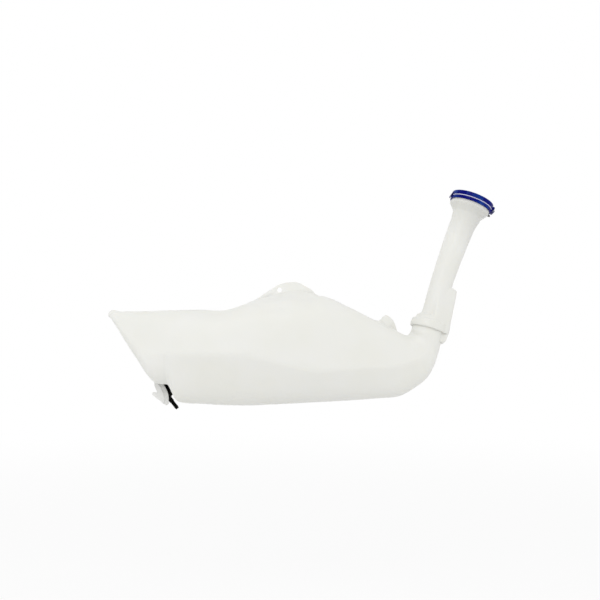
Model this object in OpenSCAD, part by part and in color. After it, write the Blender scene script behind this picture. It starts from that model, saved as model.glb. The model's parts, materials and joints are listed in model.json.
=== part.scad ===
// Washer fluid reservoir: blow-moulded tank, leaning filler neck with a hinged
// cap, and a washer pump in the recess behind the tank's left wing.
// The origin is the centre of the mounting bolt's hole, in the parting plane.
// +X runs to the filler, +Y to the back, +Z up. Lengths are in millimetres.

/* [Tank] */
// Reach of the horn's centre to the left of the bolt
horn_reach = 225; // [220:1:235]
// Drop of the horn's centre below the bolt
horn_drop = 33; // [31:0.5:36]
// Radius of the horn's round end
horn_r = 6; // [5:0.5:7]
// Drop of the left wing's roof below the bolt
roof_drop = 28; // [25:0.5:30]
// Drop of the notch above the pump below the bolt
notch_drop = 127; // [125:0.5:128]
// Drop of the floor below the bolt
floor_drop = 154.5; // [153:0.5:158]
// Bulge of the front half
front_depth = 58; // [50:1:66]
// Bulge of the back half
back_depth = 47; // [42:1:54]
// Thickness of the left wing behind the parting plane
wing_back = 3.5; // [3:0.1:4]
// Wall of the tank
tank_wall = 2.2; // [1.6:0.1:2.6]
// Diameter of the spout
spout_d = 42; // [38:0.5:44]
// Height of the spout's rim above the collar's lower edge
spout_rise = 7; // [5:0.5:8]

/* [Flange and ear] */
// Diameter of the bolt's hole
bolt_d = 6.5; // [5:0.5:8]
// Thickness of the flange and the ear
flange_t = 5; // [3:0.5:7]
// Height of the flange's top above the bolt
flange_top = 10.8; // [8:0.2:14]
// Height of the ear above the roof under it
ear_rise = 14; // [8:0.5:18]

/* [Filler neck] */
// Lean of the neck to the right
neck_lean = 16.8; // [14:0.1:19]
// Lean of the neck to the back
neck_away = 9; // [5:0.5:12]
// Further bend of the neck along its length
neck_bow = 6.5; // [4:0.5:10]
// Turn of the mouth against the end of the bend
mouth_turn = -1.5; // [-4:0.5:2]
// Length of the neck from the collar's lower edge to the mouth's lip
neck_len = 187; // [175:1:205]
// Wall of the neck
neck_wall = 2.2; // [1.6:0.1:2.8]
// Diameter of the tube above the collar
tube_low_d = 28.8; // [27.6:0.2:30.4]
// Diameter of the tube under the mouth
tube_top_d = 35.6; // [34:0.2:37]
// Height of the collar's full band
collar_h = 10; // [9:0.5:12]
// Diameter of the mouth's lip
lip_d = 54; // [52:0.5:56]
// Bore of the mouth
mouth_bore = 45; // [43:0.5:46]
// Height of the lip's straight band
lip_h = 9.5; // [8:0.5:12]
// Height of the flare under the lip's band
flare_h = 8; // [6:0.5:10]
// Diameter of the stud on the lip's right
stud_d = 2.6; // [2:0.2:3]
// Reach of the stud beyond the lip
stud_reach = 3; // [2:0.5:4]
// Depth of the stud in the lip
stud_depth = 3; // [2:0.5:3.5]
// Thickness of the wing on the neck's right
wing_t = 4; // [3:0.5:6]
// Clearance between the neck and the spout
neck_fit = 0.3; // [0.1:0.05:0.5]
// Thickness of the neck's seal
neck_seal_t = 2.5; // [2:0.1:3]

/* [Cap] */
// Wall of the cap's ring and lid
cap_wall = 2; // [1.6:0.1:2.4]
// Depth of the ring below the mouth's lip
ring_drop = 4.2; // [3:0.2:6]
// Depth of the ring's seat below the lip's top
ring_seat = 2.1; // [1.8:0.1:2.4]
// Width of the step in the lip that the ring sits on
lip_step = 1.8; // [1.6:0.1:2]
// Thickness of the ring over its seat
ring_top_t = 1.2; // [1:0.1:1.4]
// Gap between ring and lid
cap_gap = 1.5; // [1.2:0.1:1.8]
// Height of the lid's skirt
lid_h = 5.7; // [5.1:0.1:6.3]
// Rise of the lid's dome over its skirt
lid_dome = 2; // [1.6:0.1:2.6]
// Depth of the lid's plug below the mouth's lip
plug_drop = 4; // [3:0.2:5]
// Clearance between the plug and the mouth's bore
plug_fit = 1.2; // [0.8:0.1:1.6]
// Clearance between the ring and the lip
ring_fit = 0.2; // [0.1:0.05:0.3]
// Clearance between the lid's gasket and the ring when shut
seal_gap = 0.3; // [0.3:0.05:0.5]
// Inset of the gasket's edge from the lid's edge
seal_inset = 0.8; // [0.6:0.1:1.2]
// Width of the finger tab
tab_w = 14; // [10:1:18]
// Reach of the finger tab beyond the lid
tab_reach = 1.4; // [1:0.1:2]
// Depth of the finger tab below the lid
tab_drop = 3.4; // [2.4:0.2:4]

/* [Cap hinge] */
// Diameter of the hinge's pin
hinge_pin_d = 1.8; // [1.6:0.1:2.2]
// Wall of the knuckle round the pin
knuckle_wall = 0.8; // [0.7:0.1:1.1]
// Width of the lid's knuckle
knuckle_w = 9; // [7:0.5:11]
// Width of each of the ring's lugs
lug_w = 2.6; // [2:0.2:3.4]
// Drop of the hinge's axis below the lip
hinge_drop = 1.5; // [1:0.1:2]
// Clearance of the hinge's moving parts
hinge_gap = 0.4; // [0.35:0.05:0.6]
// Running clearance round the pin
pin_fit = 0.05; // [0.03:0.01:0.08]

/* [Pump] */
// Reach of the pump's axis to the left of the bolt
pump_reach = 157; // [155:0.5:159]
// Distance of the pump's axis behind the parting plane
pump_back = 20; // [19:0.5:21]
// Drop of the pump's foot below the bolt
pump_drop = 153.5; // [152:0.5:155]
// Diameter of the pump's cup under its rim
cup_d = 18; // [17.6:0.2:18.6]
// Width of the rim where cup and dome meet
seam_rim = 1.6; // [1.2:0.1:1.8]
// Height of the seam between cup and dome
seam_h = 11.6; // [11:0.2:12.4]
// Height of the dome above the seam
dome_h = 13; // [12:0.5:14]
// Diameter of the stem between dome and motor
stem_d = 9; // [8.6:0.2:9.4]
// Diameter of the motor's seat
head_d = 28; // [27:0.5:28.5]
// Height of the motor seat's rim above the pump's foot
head_h = 46; // [45.5:0.5:48]
// Height of the motor's seat
seat_h = 10; // [9.5:0.5:11]
// Diameter of the motor's housing
housing_d = 26; // [25:0.5:26.4]
// Length of the motor's housing
housing_len = 44; // [42:0.5:50]
// Wall of the motor's housing
housing_wall = 1.2; // [1:0.1:1.4]
// Height of the impeller's chamber
chamber_h = 5.4; // [5:0.1:5.8]
// Diameter of the impeller's chamber
chamber_d = 14; // [13:0.2:14.2]
// Clearance round the impeller
impeller_gap = 0.7; // [0.5:0.1:1]
// Clearance of parts pressed or set into each other
set_fit = 0.05; // [0.02:0.01:0.1]
// Running clearance of the shaft
shaft_fit = 0.03; // [0.02:0.01:0.08]
// Diameter of the motor's shaft
shaft_d = 2; // [1.6:0.1:2.4]
// Height of the inlet's axis above the pump's foot
inlet_h = 31.5; // [31:0.1:31.8]
// Diameter of the inlet spigot
inlet_d = 9.6; // [9:0.2:10]
// Bore of the inlet spigot
inlet_bore = 6; // [5:0.2:6.6]
// Diameter of the outlet barb
barb_d = 5.2; // [5:0.1:6]
// Bore of the outlet barb
barb_bore = 3.4; // [2.6:0.1:3.6]
// Length of the outlet barb from the head's chamber
barb_len = 20; // [18:0.5:23]
// Dip of the outlet barb below the level
barb_dip = 52; // [48:1:56]
// Length of the barb's thicker root
barb_root = 8; // [7:0.5:10]

/* [Grommet and strainer] */
// Diameter of the grommet's hole in the tank
grommet_hole_d = 14.6; // [13.6:0.2:15.6]
// Diameter of the grommet's flange
grommet_d = 19; // [18:0.5:20]
// Thickness of the grommet's flange
grommet_t = 3.6; // [3:0.1:4]
// Length of the boss that the grommet sits in
boss_len = 14; // [13:0.5:16]
// Length of the strainer beyond the grommet
strainer_len = 12; // [10:0.5:16]
// Wall of the strainer
strainer_wall = 1; // [0.8:0.1:1.2]
// Number of the strainer's slots
strainer_slots = 8; // [6:1:10]

/* [Pump retainer] */
// Thickness of the retainer's plate
plate_t = 2.6; // [2:0.1:3]
// Wall of the band round the pump's cup
band_wall = 2.2; // [2:0.1:2.6]
// Height of the band round the pump's cup
band_h = 3.6; // [3:0.1:3.8]
// Width of the recessed strip on the plate's right
strip_w = 5.5; // [4:0.5:7]
// Height of the pad beside the strip
pad_t = 1.6; // [1:0.1:2]

/* [Hidden] */
$fn = 72;
// Small overlap that lets one shape run into another
eps = 0.5;

// Place of the collar's lower edge, on the neck's axis
collar_at = [200.3, 0, -53.5];
spout_r = spout_d / 2;
socket_r = spout_r + neck_fit;
collar_r = socket_r + neck_wall + 1;
socket_depth = spout_rise + neck_seal_t;
tube_low_r = tube_low_d / 2;
tube_top_r = tube_top_d / 2;
lip_r = lip_d / 2;
bend_r = neck_len / (neck_bow * PI / 180);

// Levels of the tank's side view
roof = -roof_drop;
notch = -notch_drop;
base = -floor_drop;

// Direction of the horn, and a round section across it at distance d with half-width w
horn_at = [-horn_reach, -horn_drop];
horn_dir = [0.94, -0.34];
horn_side = [0.34, 0.94];
function horn_section(d, w) = concat(
    horn_at + d * horn_dir + w * horn_side,
    horn_at + d * horn_dir - w * horn_side,
    [w, w, 0.5, 2, 0, 0]
);
// A round section of the spout at height h above the collar's lower edge
spout_dir = [sin(neck_lean), cos(neck_lean)];
spout_side = [cos(neck_lean), -sin(neck_lean)];
function spout_section(h) =
    let (middle = [collar_at[0], collar_at[2]] + h * cos(neck_away) * spout_dir)
    concat(middle - spout_r * spout_side, middle + spout_r * spout_side,
        [spout_r, spout_r, 0.5, 2, neck_away, h * sin(neck_away)]);
// Length of the spout below the collar
spout_root = 8;

// Sections of the tank from the horn to the spout: top x, top z, bottom x, bottom z,
// front bulge, back bulge, height of the widest line, squareness, turn and shift to the back.
// Those round the pump follow its axis and its foot.
front = front_depth;
back = back_depth;
tip_x = -horn_reach;
pump_x = -pump_reach;
foot = -pump_drop;
mid_x = (tip_x + 22 + pump_x - 21) / 2;
sections = [
    horn_section(-0.94 * horn_r, 0.34 * horn_r),
    horn_section(-0.66 * horn_r, 0.75 * horn_r),
    horn_section(0, horn_r),
    [tip_x + 11, roof - 1.4, tip_x + 7.5, roof - 25.5, front - 47, wing_back + 1, 0.45, 2.1, 0, 0],
    [tip_x + 22, roof - 1.2, tip_x + 21, roof - 47, front - 39, wing_back, 0.4, 2.2, 0, 0],
    [mid_x, roof - 1.2, mid_x, roof - 66.5, front - 30, wing_back, 0.36, 2.4, 0, 0],
    [pump_x - 21, roof - 1, pump_x - 21, notch + 14, front - 23, wing_back, 0.35, 2.5, 0, 0],
    [pump_x - 11, roof - 0.7, pump_x - 11, notch + 3.4, front - 18, wing_back, 0.4, 2.6, 0, 0],
    [pump_x - 1, roof - 0.3, pump_x, notch + 0.4, front - 14, wing_back, 0.43, 2.6, 0, 0],
    [pump_x + 6.5, roof, pump_x + 7.8, notch + 0.1, front - 11, wing_back, 0.44, 2.6, 0, 0],
    [pump_x + 11.2, roof + 0.1, pump_x + 11.6, foot + 21.1, front - 9.5, wing_back, 0.46, 2.6, 0, 0],
    [pump_x + 16.5, roof + 0.2, pump_x + 15.8, foot + 12, front - 8.2, wing_back + 2.5, 0.5, 2.6, 0, 0],
    [pump_x + 22, roof + 0.5, pump_x + 20.8, foot + 5, front - 6.8, back - 22, 0.53, 2.7, 0, 0],
    [pump_x + 33, roof + 0.8, pump_x + 33, foot + 2, front - 4.5, back - 8, 0.54, 2.7, 0, 0],
    [pump_x + 52, roof + 0.8, pump_x + 52, base + 2.2, front - 2, back - 3, 0.55, 2.6, 0, 0],
    [-74, roof + 0.2, -74, base + 0.5, front, back, 0.55, 2.5, 0, 0],
    [-40, roof + 10, -40, base, front, back, 0.5, 2.5, 0, 0],
    [5, roof + 17, 0, base + 1.8, front, back, 0.4, 2.5, 0, 0],
    [48, roof + 19.5, 45, base + 4.2, front - 1, back - 1, 0.31, 2.5, 0, 0],
    [67, roof + 17, 72, base + 5.5, front - 2.5, back - 2, 0.29, 2.5, 0, 0],
    [95, roof + 3.8, 102, base + 7.2, front - 6, back - 4, 0.29, 2.5, 0, 0],
    [122, roof - 9.8, 135, base + 9.6, front - 11, back - 8, 0.31, 2.4, 0, 0],
    [142, roof - 19.8, 160, base + 12, front - 16, back - 12, 0.35, 2.4, 0.1 * neck_away, 0],
    [156, roof - 26.8, 181, base + 23, front - 22, back - 16, 0.4, 2.3, 0.25 * neck_away, 0],
    [166, roof - 32, 197.5, base + 36, front - 28, back - 20, 0.45, 2.2, 0.5 * neck_away, 0],
    [172.5, roof - 33.4, 208, base + 53.5, front - 32.5, back - 23, 0.48, 2.1, 0.75 * neck_away, 0],
    [176.5, roof - 30, 214.5, base + 71.5, front - 35.5, back - 25, 0.5, 2, 0.9 * neck_away, 0],
    spout_section(-spout_root),
    spout_section(0),
    spout_section(spout_rise)
];
// The cavity starts at this section, and each span takes this many steps
first_hollow = 4;
span_steps = 2;
section_points = 28;

// Smooth curve through the rows of a table
function through(rows, i, t) =
    let (
        a = rows[max(i - 1, 0)],
        b = rows[i],
        c = rows[i + 1],
        d = rows[min(i + 2, len(rows) - 1)]
    )
    0.5 * (2 * b + (c - a) * t + (2 * a - 5 * b + 4 * c - d) * t * t + (3 * b - a - 3 * c + d) * t * t * t);
function stations(rows, from) = concat(
    [for (i = [from:len(rows) - 2]) for (s = [0:span_steps - 1]) through(rows, i, s / span_steps)],
    [rows[len(rows) - 1]]
);

// A point of a section at angle t, with its wall drawn in by inset
function power(v, n) = sign(v) * pow(abs(v), 2 / n);
function section_point(row, t, inset) =
    let (
        top = [row[0], row[1]],
        low = [row[2], row[3]],
        height = norm(top - low),
        down = (low - top) / height,
        across = [-down[1], down[0]],
        turn = row[8],
        depth_dir = [-across[0] * sin(turn), cos(turn), -across[1] * sin(turn)],
        squareness = sin(t) < 0 ? 2 * row[7] - 2 : row[7],
        up = power(cos(t), squareness),
        out = power(sin(t), squareness),
        below = row[6] * height,
        lift = below + up * ((up < 0 ? below : height - below) - inset),
        y = out > 0 ? -out * (row[4] - inset) : -out * (row[5] - inset)
    )
    [low[0], row[9], low[1]] - lift * [down[0], 0, down[1]] + y * depth_dir;

// A hollow skin: an outer and an inner stack of rings, joined at the last ring,
// closed at the first one, or joined there too when both stacks are as long
module skin(outer, inner, joined_first) {
    m = len(outer[0]);
    no = len(outer);
    ni = len(inner);
    points = concat([for (r = outer) each r], [for (r = inner) each r]);
    function o(i, j) = i * m + j % m;
    function n(i, j) = (no + i) * m + j % m;
    faces = concat(
        [for (i = [0:no - 2]) for (j = [0:m - 1]) each [
            [o(i, j), o(i + 1, j), o(i + 1, j + 1)],
            [o(i, j), o(i + 1, j + 1), o(i, j + 1)]]],
        [for (i = [0:ni - 2]) for (j = [0:m - 1]) each [
            [n(i, j), n(i + 1, j + 1), n(i + 1, j)],
            [n(i, j), n(i, j + 1), n(i + 1, j + 1)]]],
        [for (j = [0:m - 1]) each [
            [o(no - 1, j + 1), o(no - 1, j), n(ni - 1, j)],
            [o(no - 1, j + 1), n(ni - 1, j), n(ni - 1, j + 1)]]],
        joined_first
            ? [for (j = [0:m - 1]) each [
                [o(0, j), o(0, j + 1), n(0, j)],
                [o(0, j + 1), n(0, j + 1), n(0, j)]]]
            : [[for (j = [0:m - 1]) o(0, j)], [for (j = [0:m - 1]) n(0, m - 1 - j)]]
    );
    polyhedron(points, faces, convexity = 6);
}

// A flat plate in the parting plane from a side-view outline
module parting_plate(outline, thickness) {
    rotate([90, 0, 0])
        linear_extrude(thickness, center = true)
            polygon(outline);
}

// Frames of the collar and of the mouth
module at_collar() {
    translate(collar_at) rotate([-neck_away, neck_lean, 0]) children();
}
module at_mouth() {
    at_collar()
        translate(bend_point(1))
            rotate([0, neck_bow + mouth_turn, 0]) children();
}
// The neck's axis in the collar's frame, as an arc that starts upright
function bend_point(s) = [bend_r * (1 - cos(neck_bow * s)), 0, bend_r * sin(neck_bow * s)];
function bend_ring(s, r) =
    let (a = neck_bow * s, side = [cos(a), 0, -sin(a)])
    [for (j = [0:section_points - 1])
        let (t = 360 * j / section_points)
        bend_point(s) + r * cos(t) * side + [0, r * sin(t), 0]];

// Frame of the pump: its foot on its own axis
pump_at = [-pump_reach, pump_back, -pump_drop];
module at_pump() {
    translate(pump_at) children();
}
module ring(outer_r, inner_r, h) {
    difference() {
        cylinder(h, r = outer_r);
        translate([0, 0, -eps]) cylinder(h + 2 * eps, r = inner_r);
    }
}

// Tank
grommet_gap = 0.4;
grommet_lip = 1.5;
boss_face_x = -pump_reach + head_d / 2 + grommet_t + grommet_gap;
boss_at = [boss_face_x, pump_back, -pump_drop + inlet_h];
boss_rim = 0.5;
boss_r = grommet_d / 2 + boss_rim;
tank_outer = [for (row = stations(sections, 0))
    [for (j = [0:section_points - 1]) section_point(row, 360 * j / section_points, 0)]];
tank_inner = [for (row = stations(sections, first_hollow))
    [for (j = [0:section_points - 1]) section_point(row, 360 * j / section_points, tank_wall)]];
// Side view of the bolt's flange, and of the ear beside the neck
flange_foot = 1.6;
flange_outline = [
    [-44, roof + 9 - flange_foot], [-29, -10.6], [0, flange_top - 2.6], [7, flange_top - 0.6],
    [14, flange_top], [25, flange_top], [30, flange_top - 1.6], [46, -1.2], [49.5, -5],
    [50.6, roof + 19 - flange_foot], [5, roof + 16.6 - flange_foot], [-36, roof + 11 - flange_foot]
];
ear_top = roof - 20 + ear_rise;
ear_outline = [
    [133, roof - 15.4], [135.4, ear_top - 7], [139, ear_top - 3], [143.6, ear_top], [147, ear_top - 0.8],
    [151, ear_top - 4.6], [154.6, ear_top - 9.4], [157.3, roof - 22], [159.4, roof - 28.6 - flange_foot],
    [146, roof - 22 - flange_foot], [134, roof - 16 - flange_foot]
];
module tank() {
    color("ivory")
        difference() {
            union() {
                skin(tank_outer, tank_inner, false);
                parting_plate(flange_outline, flange_t);
                parting_plate(ear_outline, flange_t);
                translate(boss_at) rotate([0, 90, 0]) cylinder(boss_len, r = boss_r);
            }
            rotate([90, 0, 0]) cylinder(flange_t + 2 * eps, d = bolt_d, center = true);
            translate(boss_at - [eps, 0, 0])
                rotate([0, 90, 0]) cylinder(boss_len + grommet_lip + 3 * eps, d = grommet_hole_d);
            translate(boss_at - [grommet_t + grommet_gap, 0, 0])
                rotate([0, 90, 0]) cylinder(grommet_t + grommet_gap, r = boss_r);
        }
}

// Filler neck
tube_rings = 14;
tube_from = (socket_depth + 4) / neck_len;
tube_to = 1 - (lip_h + flare_h - 1.5) / neck_len;
function tube_r(s) = tube_low_r + (tube_top_r - tube_low_r) * pow(s, 1.3);
tube_steps = [for (i = [0:tube_rings]) tube_from + (tube_to - tube_from) * i / tube_rings];
ledge = 0.6;
low_bore_r = tube_low_r - neck_wall + ledge;
top_bore_r = tube_top_r - neck_wall + ledge;
collar_step_r = collar_r - 4.2;
collar_profile = [
    [socket_r, 0], [collar_r, 0], [collar_r + 0.5, 2], [collar_r + 0.5, 6], [collar_r, 8],
    [collar_r, collar_h], [collar_step_r, collar_h + 3], [collar_step_r, collar_h + 5.5],
    [tube_low_r + 1, collar_h + 10], [tube_low_r + 1, collar_h + 13], [low_bore_r, collar_h + 13],
    [low_bore_r, socket_depth], [socket_r, socket_depth]
];
flare_low = -lip_h - flare_h;
mouth_profile = [
    [tube_top_r + 0.6, flare_low - 5], [tube_top_r + 1.2, flare_low - 1.5], [tube_top_r + 2.8, flare_low],
    [lip_r - 0.8, -lip_h], [lip_r, -lip_h + 1], [lip_r, -ring_seat], [lip_r - lip_step, -ring_seat],
    [lip_r - lip_step, 0], [mouth_bore / 2, 0], [mouth_bore / 2, -lip_h],
    [top_bore_r, flare_low + 2], [top_bore_r, flare_low - 5]
];
// Gap between the wing and the tank under the collar
wing_gap = 0.6;
neck_wing_outline = [
    [tube_low_r - 1, 17], [tube_low_r + 0.5, 62], [tube_low_r + 6.7, 64], [tube_low_r + 8.3, 61],
    [tube_low_r + 10.5, 39], [collar_r + 2.2, 19], [collar_r + 4, 7], [collar_r + 4.2, 4],
    [collar_r + 1.6, -10.4], [collar_r, -12.6], [socket_r + wing_gap, -12.6],
    [socket_r + wing_gap, socket_depth + 1.5]
];
module at_stud() {
    translate([lip_r - stud_depth, 0, 1.5 - lip_h]) rotate([0, 90, 0]) children();
}
module filler_neck() {
    color("ivory") {
        at_collar() {
            skin([for (s = tube_steps) bend_ring(s, tube_r(s))],
                [for (s = tube_steps) bend_ring(s, tube_r(s) - neck_wall)], true);
            rotate_extrude() polygon(collar_profile);
            parting_plate(neck_wing_outline, wing_t);
        }
        at_mouth()
            difference() {
                rotate_extrude() polygon(mouth_profile);
                at_stud() cylinder(stud_depth + eps, d = stud_d + 2 * set_fit);
            }
    }
}
module lip_stud() {
    color("dimgray")
        at_mouth()
            at_stud() cylinder(stud_depth + stud_reach, d = stud_d);
}
module neck_seal() {
    color("dimgray")
        at_collar()
            translate([0, 0, spout_rise])
                ring(spout_r - set_fit, spout_r - tank_wall - 1, neck_seal_t);
}

// Filler cap
ring_in_r = lip_r + ring_fit;
ring_r = ring_in_r + cap_wall;
lid_r = ring_r + 0.4;
ring_top = ring_top_t - ring_seat;
lid_low = ring_top + cap_gap;
lid_under = lid_low + lid_h - 1.2;
plug_r = mouth_bore / 2 - plug_fit;
knuckle_r = hinge_pin_d / 2 + knuckle_wall;
hinge_x = ring_r + hinge_gap + knuckle_r;
lug_at = knuckle_w / 2 + hinge_gap;
module at_hinge() {
    translate([hinge_x, 0, -hinge_drop]) rotate([90, 0, 0]) children();
}
module lugs() {
    web_low = 0.4 - hinge_drop - knuckle_r;
    for (side = [-1, 1])
        translate([0, side * (lug_at + lug_w / 2), 0]) {
            at_hinge() cylinder(lug_w, r = knuckle_r, center = true);
            translate([ring_in_r + 1, -lug_w / 2, web_low])
                cube([hinge_x - ring_in_r - 1, lug_w, ring_top - web_low]);
        }
}
module cap_ring() {
    color("navy")
        at_mouth()
            difference() {
                union() {
                    rotate_extrude() polygon([
                        [ring_in_r, -ring_drop], [ring_r, -ring_drop], [ring_r, ring_top - 0.5],
                        [ring_r - 0.5, ring_top], [ring_in_r - lip_step, ring_top],
                        [ring_in_r - lip_step, -ring_seat], [ring_in_r, -ring_seat]
                    ]);
                    lugs();
                }
                at_hinge() cylinder(2 * (lug_at + lug_w + eps), d = hinge_pin_d + 2 * set_fit, center = true);
            }
}
module finger_tab() {
    translate([-lid_r, 0, lid_low])
        rotate([90, 0, 0])
            linear_extrude(tab_w, center = true)
                polygon([
                    [cap_wall / 2, 0], [cap_wall / 2, tab_reach + 1], [0, tab_reach + 1],
                    [-tab_reach, 0.5 - tab_drop / 2], [-tab_reach, 0.6 - tab_drop],
                    [0.6 - tab_reach, -tab_drop], [0, -tab_drop], [0, 0]
                ]);
}
module hinge_arm() {
    arm_top = lid_low + lid_h - 1;
    arm_x = ring_r + hinge_gap + 0.3;
    at_hinge() cylinder(knuckle_w, r = knuckle_r, center = true);
    translate([arm_x, -knuckle_w / 2, -hinge_drop])
        cube([hinge_x + knuckle_r - 0.4 - arm_x, knuckle_w, arm_top + hinge_drop]);
    translate([lid_r - cap_wall / 2, -knuckle_w / 2, lid_low + 0.3])
        cube([arm_x - lid_r + cap_wall / 2 + eps, knuckle_w, lid_h - 1.3]);
}
module cap_lid() {
    color("navy")
        at_mouth()
            difference() {
                union() {
                    rotate_extrude() polygon([
                        [0, lid_under], [plug_r - cap_wall, lid_under], [plug_r - cap_wall, -plug_drop],
                        [plug_r - 0.6, -plug_drop], [plug_r, -plug_drop + 1], [plug_r, lid_under],
                        [lid_r - cap_wall, lid_under], [lid_r - cap_wall, lid_low], [lid_r, lid_low],
                        [lid_r, lid_low + lid_h - 0.8], [lid_r - 0.8, lid_low + lid_h],
                        [0.6 * lid_r, lid_low + lid_h + 0.8 * lid_dome], [0, lid_low + lid_h + lid_dome]
                    ]);
                    finger_tab();
                    hinge_arm();
                }
                at_hinge() cylinder(knuckle_w + 2 * eps, d = hinge_pin_d + 2 * pin_fit, center = true);
            }
}
module cap_seal() {
    seal_low = ring_top + seal_gap;
    skirt_in_r = ring_in_r - lip_step + seal_gap;
    seal_r = lid_r - seal_inset;
    seal_bore_r = plug_r + set_fit;
    nest_r = lid_r - cap_wall - set_fit;
    color("lavender")
        at_mouth()
            rotate_extrude() polygon([
                [seal_bore_r, seal_gap], [skirt_in_r, seal_gap], [skirt_in_r, seal_low], [seal_r, seal_low],
                [seal_r, lid_low], [nest_r, lid_low], [nest_r, lid_under], [seal_bore_r, lid_under]
            ]);
}
module hinge_pin() {
    color("dimgray")
        at_mouth()
            at_hinge() {
                cylinder(2 * (lug_at + lug_w) + 0.6, d = hinge_pin_d, center = true);
                for (side = [-1, 1])
                    translate([0, 0, side * (lug_at + lug_w + 0.5)])
                        cylinder(0.8, d = hinge_pin_d + 1, center = true);
            }
}

// Pump: levels above its foot
head_r = head_d / 2;
housing_r = housing_d / 2;
chamber_r = chamber_d / 2;
cup_r = cup_d / 2;
rim_r = cup_r + seam_rim;
stem_r = stem_d / 2;
volute_t = 1.2;
volute_seat = 0.8;
gallery_r = chamber_r + volute_seat;
volute_bore_r = 3;
chamber_top = seam_h - volute_t;
chamber_low = chamber_top - chamber_h;
seal_plate_t = 3;
seal_plate_r = housing_r - housing_wall + 0.2;
housing_seat = 5;
housing_low = head_h - housing_seat;
seal_plate_low = housing_low - seal_plate_t;
seat_low = head_h - seat_h;
housing_high = housing_low + housing_len;
can_r = housing_r - housing_wall - set_fit;
can_wall = 0.7;
can_high = housing_high - 8;
bush_r = 3;
bush_len = 3.4;
shaft_r = shaft_d / 2;
magnet_out_r = can_r - can_wall - set_fit;
magnet_t = 2.2;
rotor_gap = 0.5;
armature_r = magnet_out_r - magnet_t - rotor_gap;
armature_low = housing_low + 8;
armature_len = can_high - housing_low - 20;
commutator_r = 3.2;
commutator_low = armature_low + armature_len + 2;
commutator_len = 6;
impeller_low = chamber_low + impeller_gap;
impeller_h = chamber_h - 2 * impeller_gap;
disc_t = 1.4;
barb_dir = [cos(barb_dip), 0, -sin(barb_dip)];
barb_start = [chamber_r - 2, 0, chamber_top - 3.1];
module along_barb() {
    translate(barb_start) rotate([0, 90 + barb_dip, 0]) children();
}
// The cup round the impeller's chamber, with a conical foot and the outlet barb
cup_profile = [
    [0, 0], [cup_r - 5.8, 0], [cup_r - 2.8, 2.8], [cup_r - 0.4, 5], [cup_r, 5.8], [cup_r, seam_h - 2.8],
    [rim_r - 0.4, seam_h - 1.7], [rim_r, seam_h - 1], [rim_r, seam_h], [0, seam_h]
];
module pump_head() {
    color("#151515")
        at_pump()
            difference() {
                union() {
                    rotate_extrude() polygon(cup_profile);
                    along_barb() {
                        cylinder(barb_root, d = barb_d + 1.2);
                        cylinder(barb_len, d = barb_d);
                    }
                }
                translate([0, 0, chamber_low]) cylinder(chamber_h + eps, r = chamber_r);
                translate([0, 0, chamber_top]) cylinder(volute_t + eps, r = gallery_r);
                along_barb() cylinder(barb_len + eps, d = barb_bore);
            }
}
// The dome over the cup, the stem with the inlet spigot, and the motor's seat on top
function dome_r(share) = stem_r + share * (rim_r - stem_r);
dome_top = seam_h + dome_h;
stem_bore_r = stem_r - 1.5;
cover_profile = [
    [0, seam_h], [rim_r, seam_h], [rim_r, seam_h + 0.4], [dome_r(0.74), seam_h + 0.29 * dome_h],
    [dome_r(0.3), seam_h + 0.71 * dome_h], [stem_r, dome_top], [stem_r, seat_low], [head_r - 2, seat_low],
    [head_r, seat_low + 2], [head_r, head_h], [0, head_h]
];
gallery_profile = [
    [0, seam_h - eps], [chamber_r, seam_h - eps], [chamber_r, seam_h + eps],
    [stem_bore_r, seam_h + 0.7 * dome_h], [stem_bore_r, seal_plate_low + eps], [0, seal_plate_low + eps]
];
module pump_cover() {
    inlet_end = boss_face_x + pump_reach + boss_len + grommet_lip;
    color("#151515")
        at_pump()
            difference() {
                union() {
                    rotate_extrude() polygon(cover_profile);
                    translate([0, 0, inlet_h]) rotate([0, 90, 0]) cylinder(inlet_end, d = inlet_d);
                }
                rotate_extrude() polygon(gallery_profile);
                translate([0, 0, seal_plate_low]) cylinder(head_h, r = seal_plate_r + set_fit);
                translate([0, 0, housing_low]) cylinder(head_h, r = housing_r + set_fit);
                translate([0, 0, inlet_h]) rotate([0, 90, 0]) cylinder(inlet_end + eps, d = inlet_bore);
            }
}
module volute_plate() {
    color("#222222")
        at_pump()
            translate([0, 0, chamber_top]) ring(gallery_r - set_fit, volute_bore_r, volute_t);
}
module pump_impeller() {
    hub_r = 2.2;
    vane_t = 1;
    vanes = 6;
    r = chamber_r - impeller_gap;
    color("whitesmoke")
        at_pump()
            translate([0, 0, impeller_low])
                difference() {
                    union() {
                        cylinder(disc_t, r = r);
                        cylinder(impeller_h, r = hub_r);
                        for (k = [0:vanes - 1])
                            rotate(360 * k / vanes)
                                translate([hub_r - eps, -vane_t / 2, 0])
                                    cube([r - hub_r, vane_t, impeller_h]);
                    }
                    translate([0, 0, disc_t]) cylinder(impeller_h, r = shaft_r + set_fit);
                }
}
module seal_plate() {
    color("#222222")
        at_pump()
            translate([0, 0, seal_plate_low])
                difference() {
                    cylinder(seal_plate_t, r = seal_plate_r);
                    translate([0, 0, -eps]) cylinder(seal_plate_t + 2 * eps, r = shaft_r + 0.4);
                    translate([0, 0, 1]) cylinder(seal_plate_t, r = bush_r + 1);
                }
}
module shaft_seal() {
    color("black")
        at_pump()
            translate([0, 0, seal_plate_low + 1])
                ring(bush_r + 1 - set_fit, shaft_r + shaft_fit, seal_plate_t - 1);
}
module lower_bush() {
    color("peru")
        at_pump()
            translate([0, 0, housing_low]) ring(bush_r, shaft_r + shaft_fit, bush_len);
}
module motor_can() {
    color("silver")
        at_pump()
            translate([0, 0, housing_low])
                difference() {
                    cylinder(can_high - housing_low, r = can_r);
                    translate([0, 0, can_wall]) cylinder(can_high, r = can_r - can_wall);
                    translate([0, 0, -eps]) cylinder(can_wall + 2 * eps, r = bush_r + set_fit);
                }
}
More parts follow.
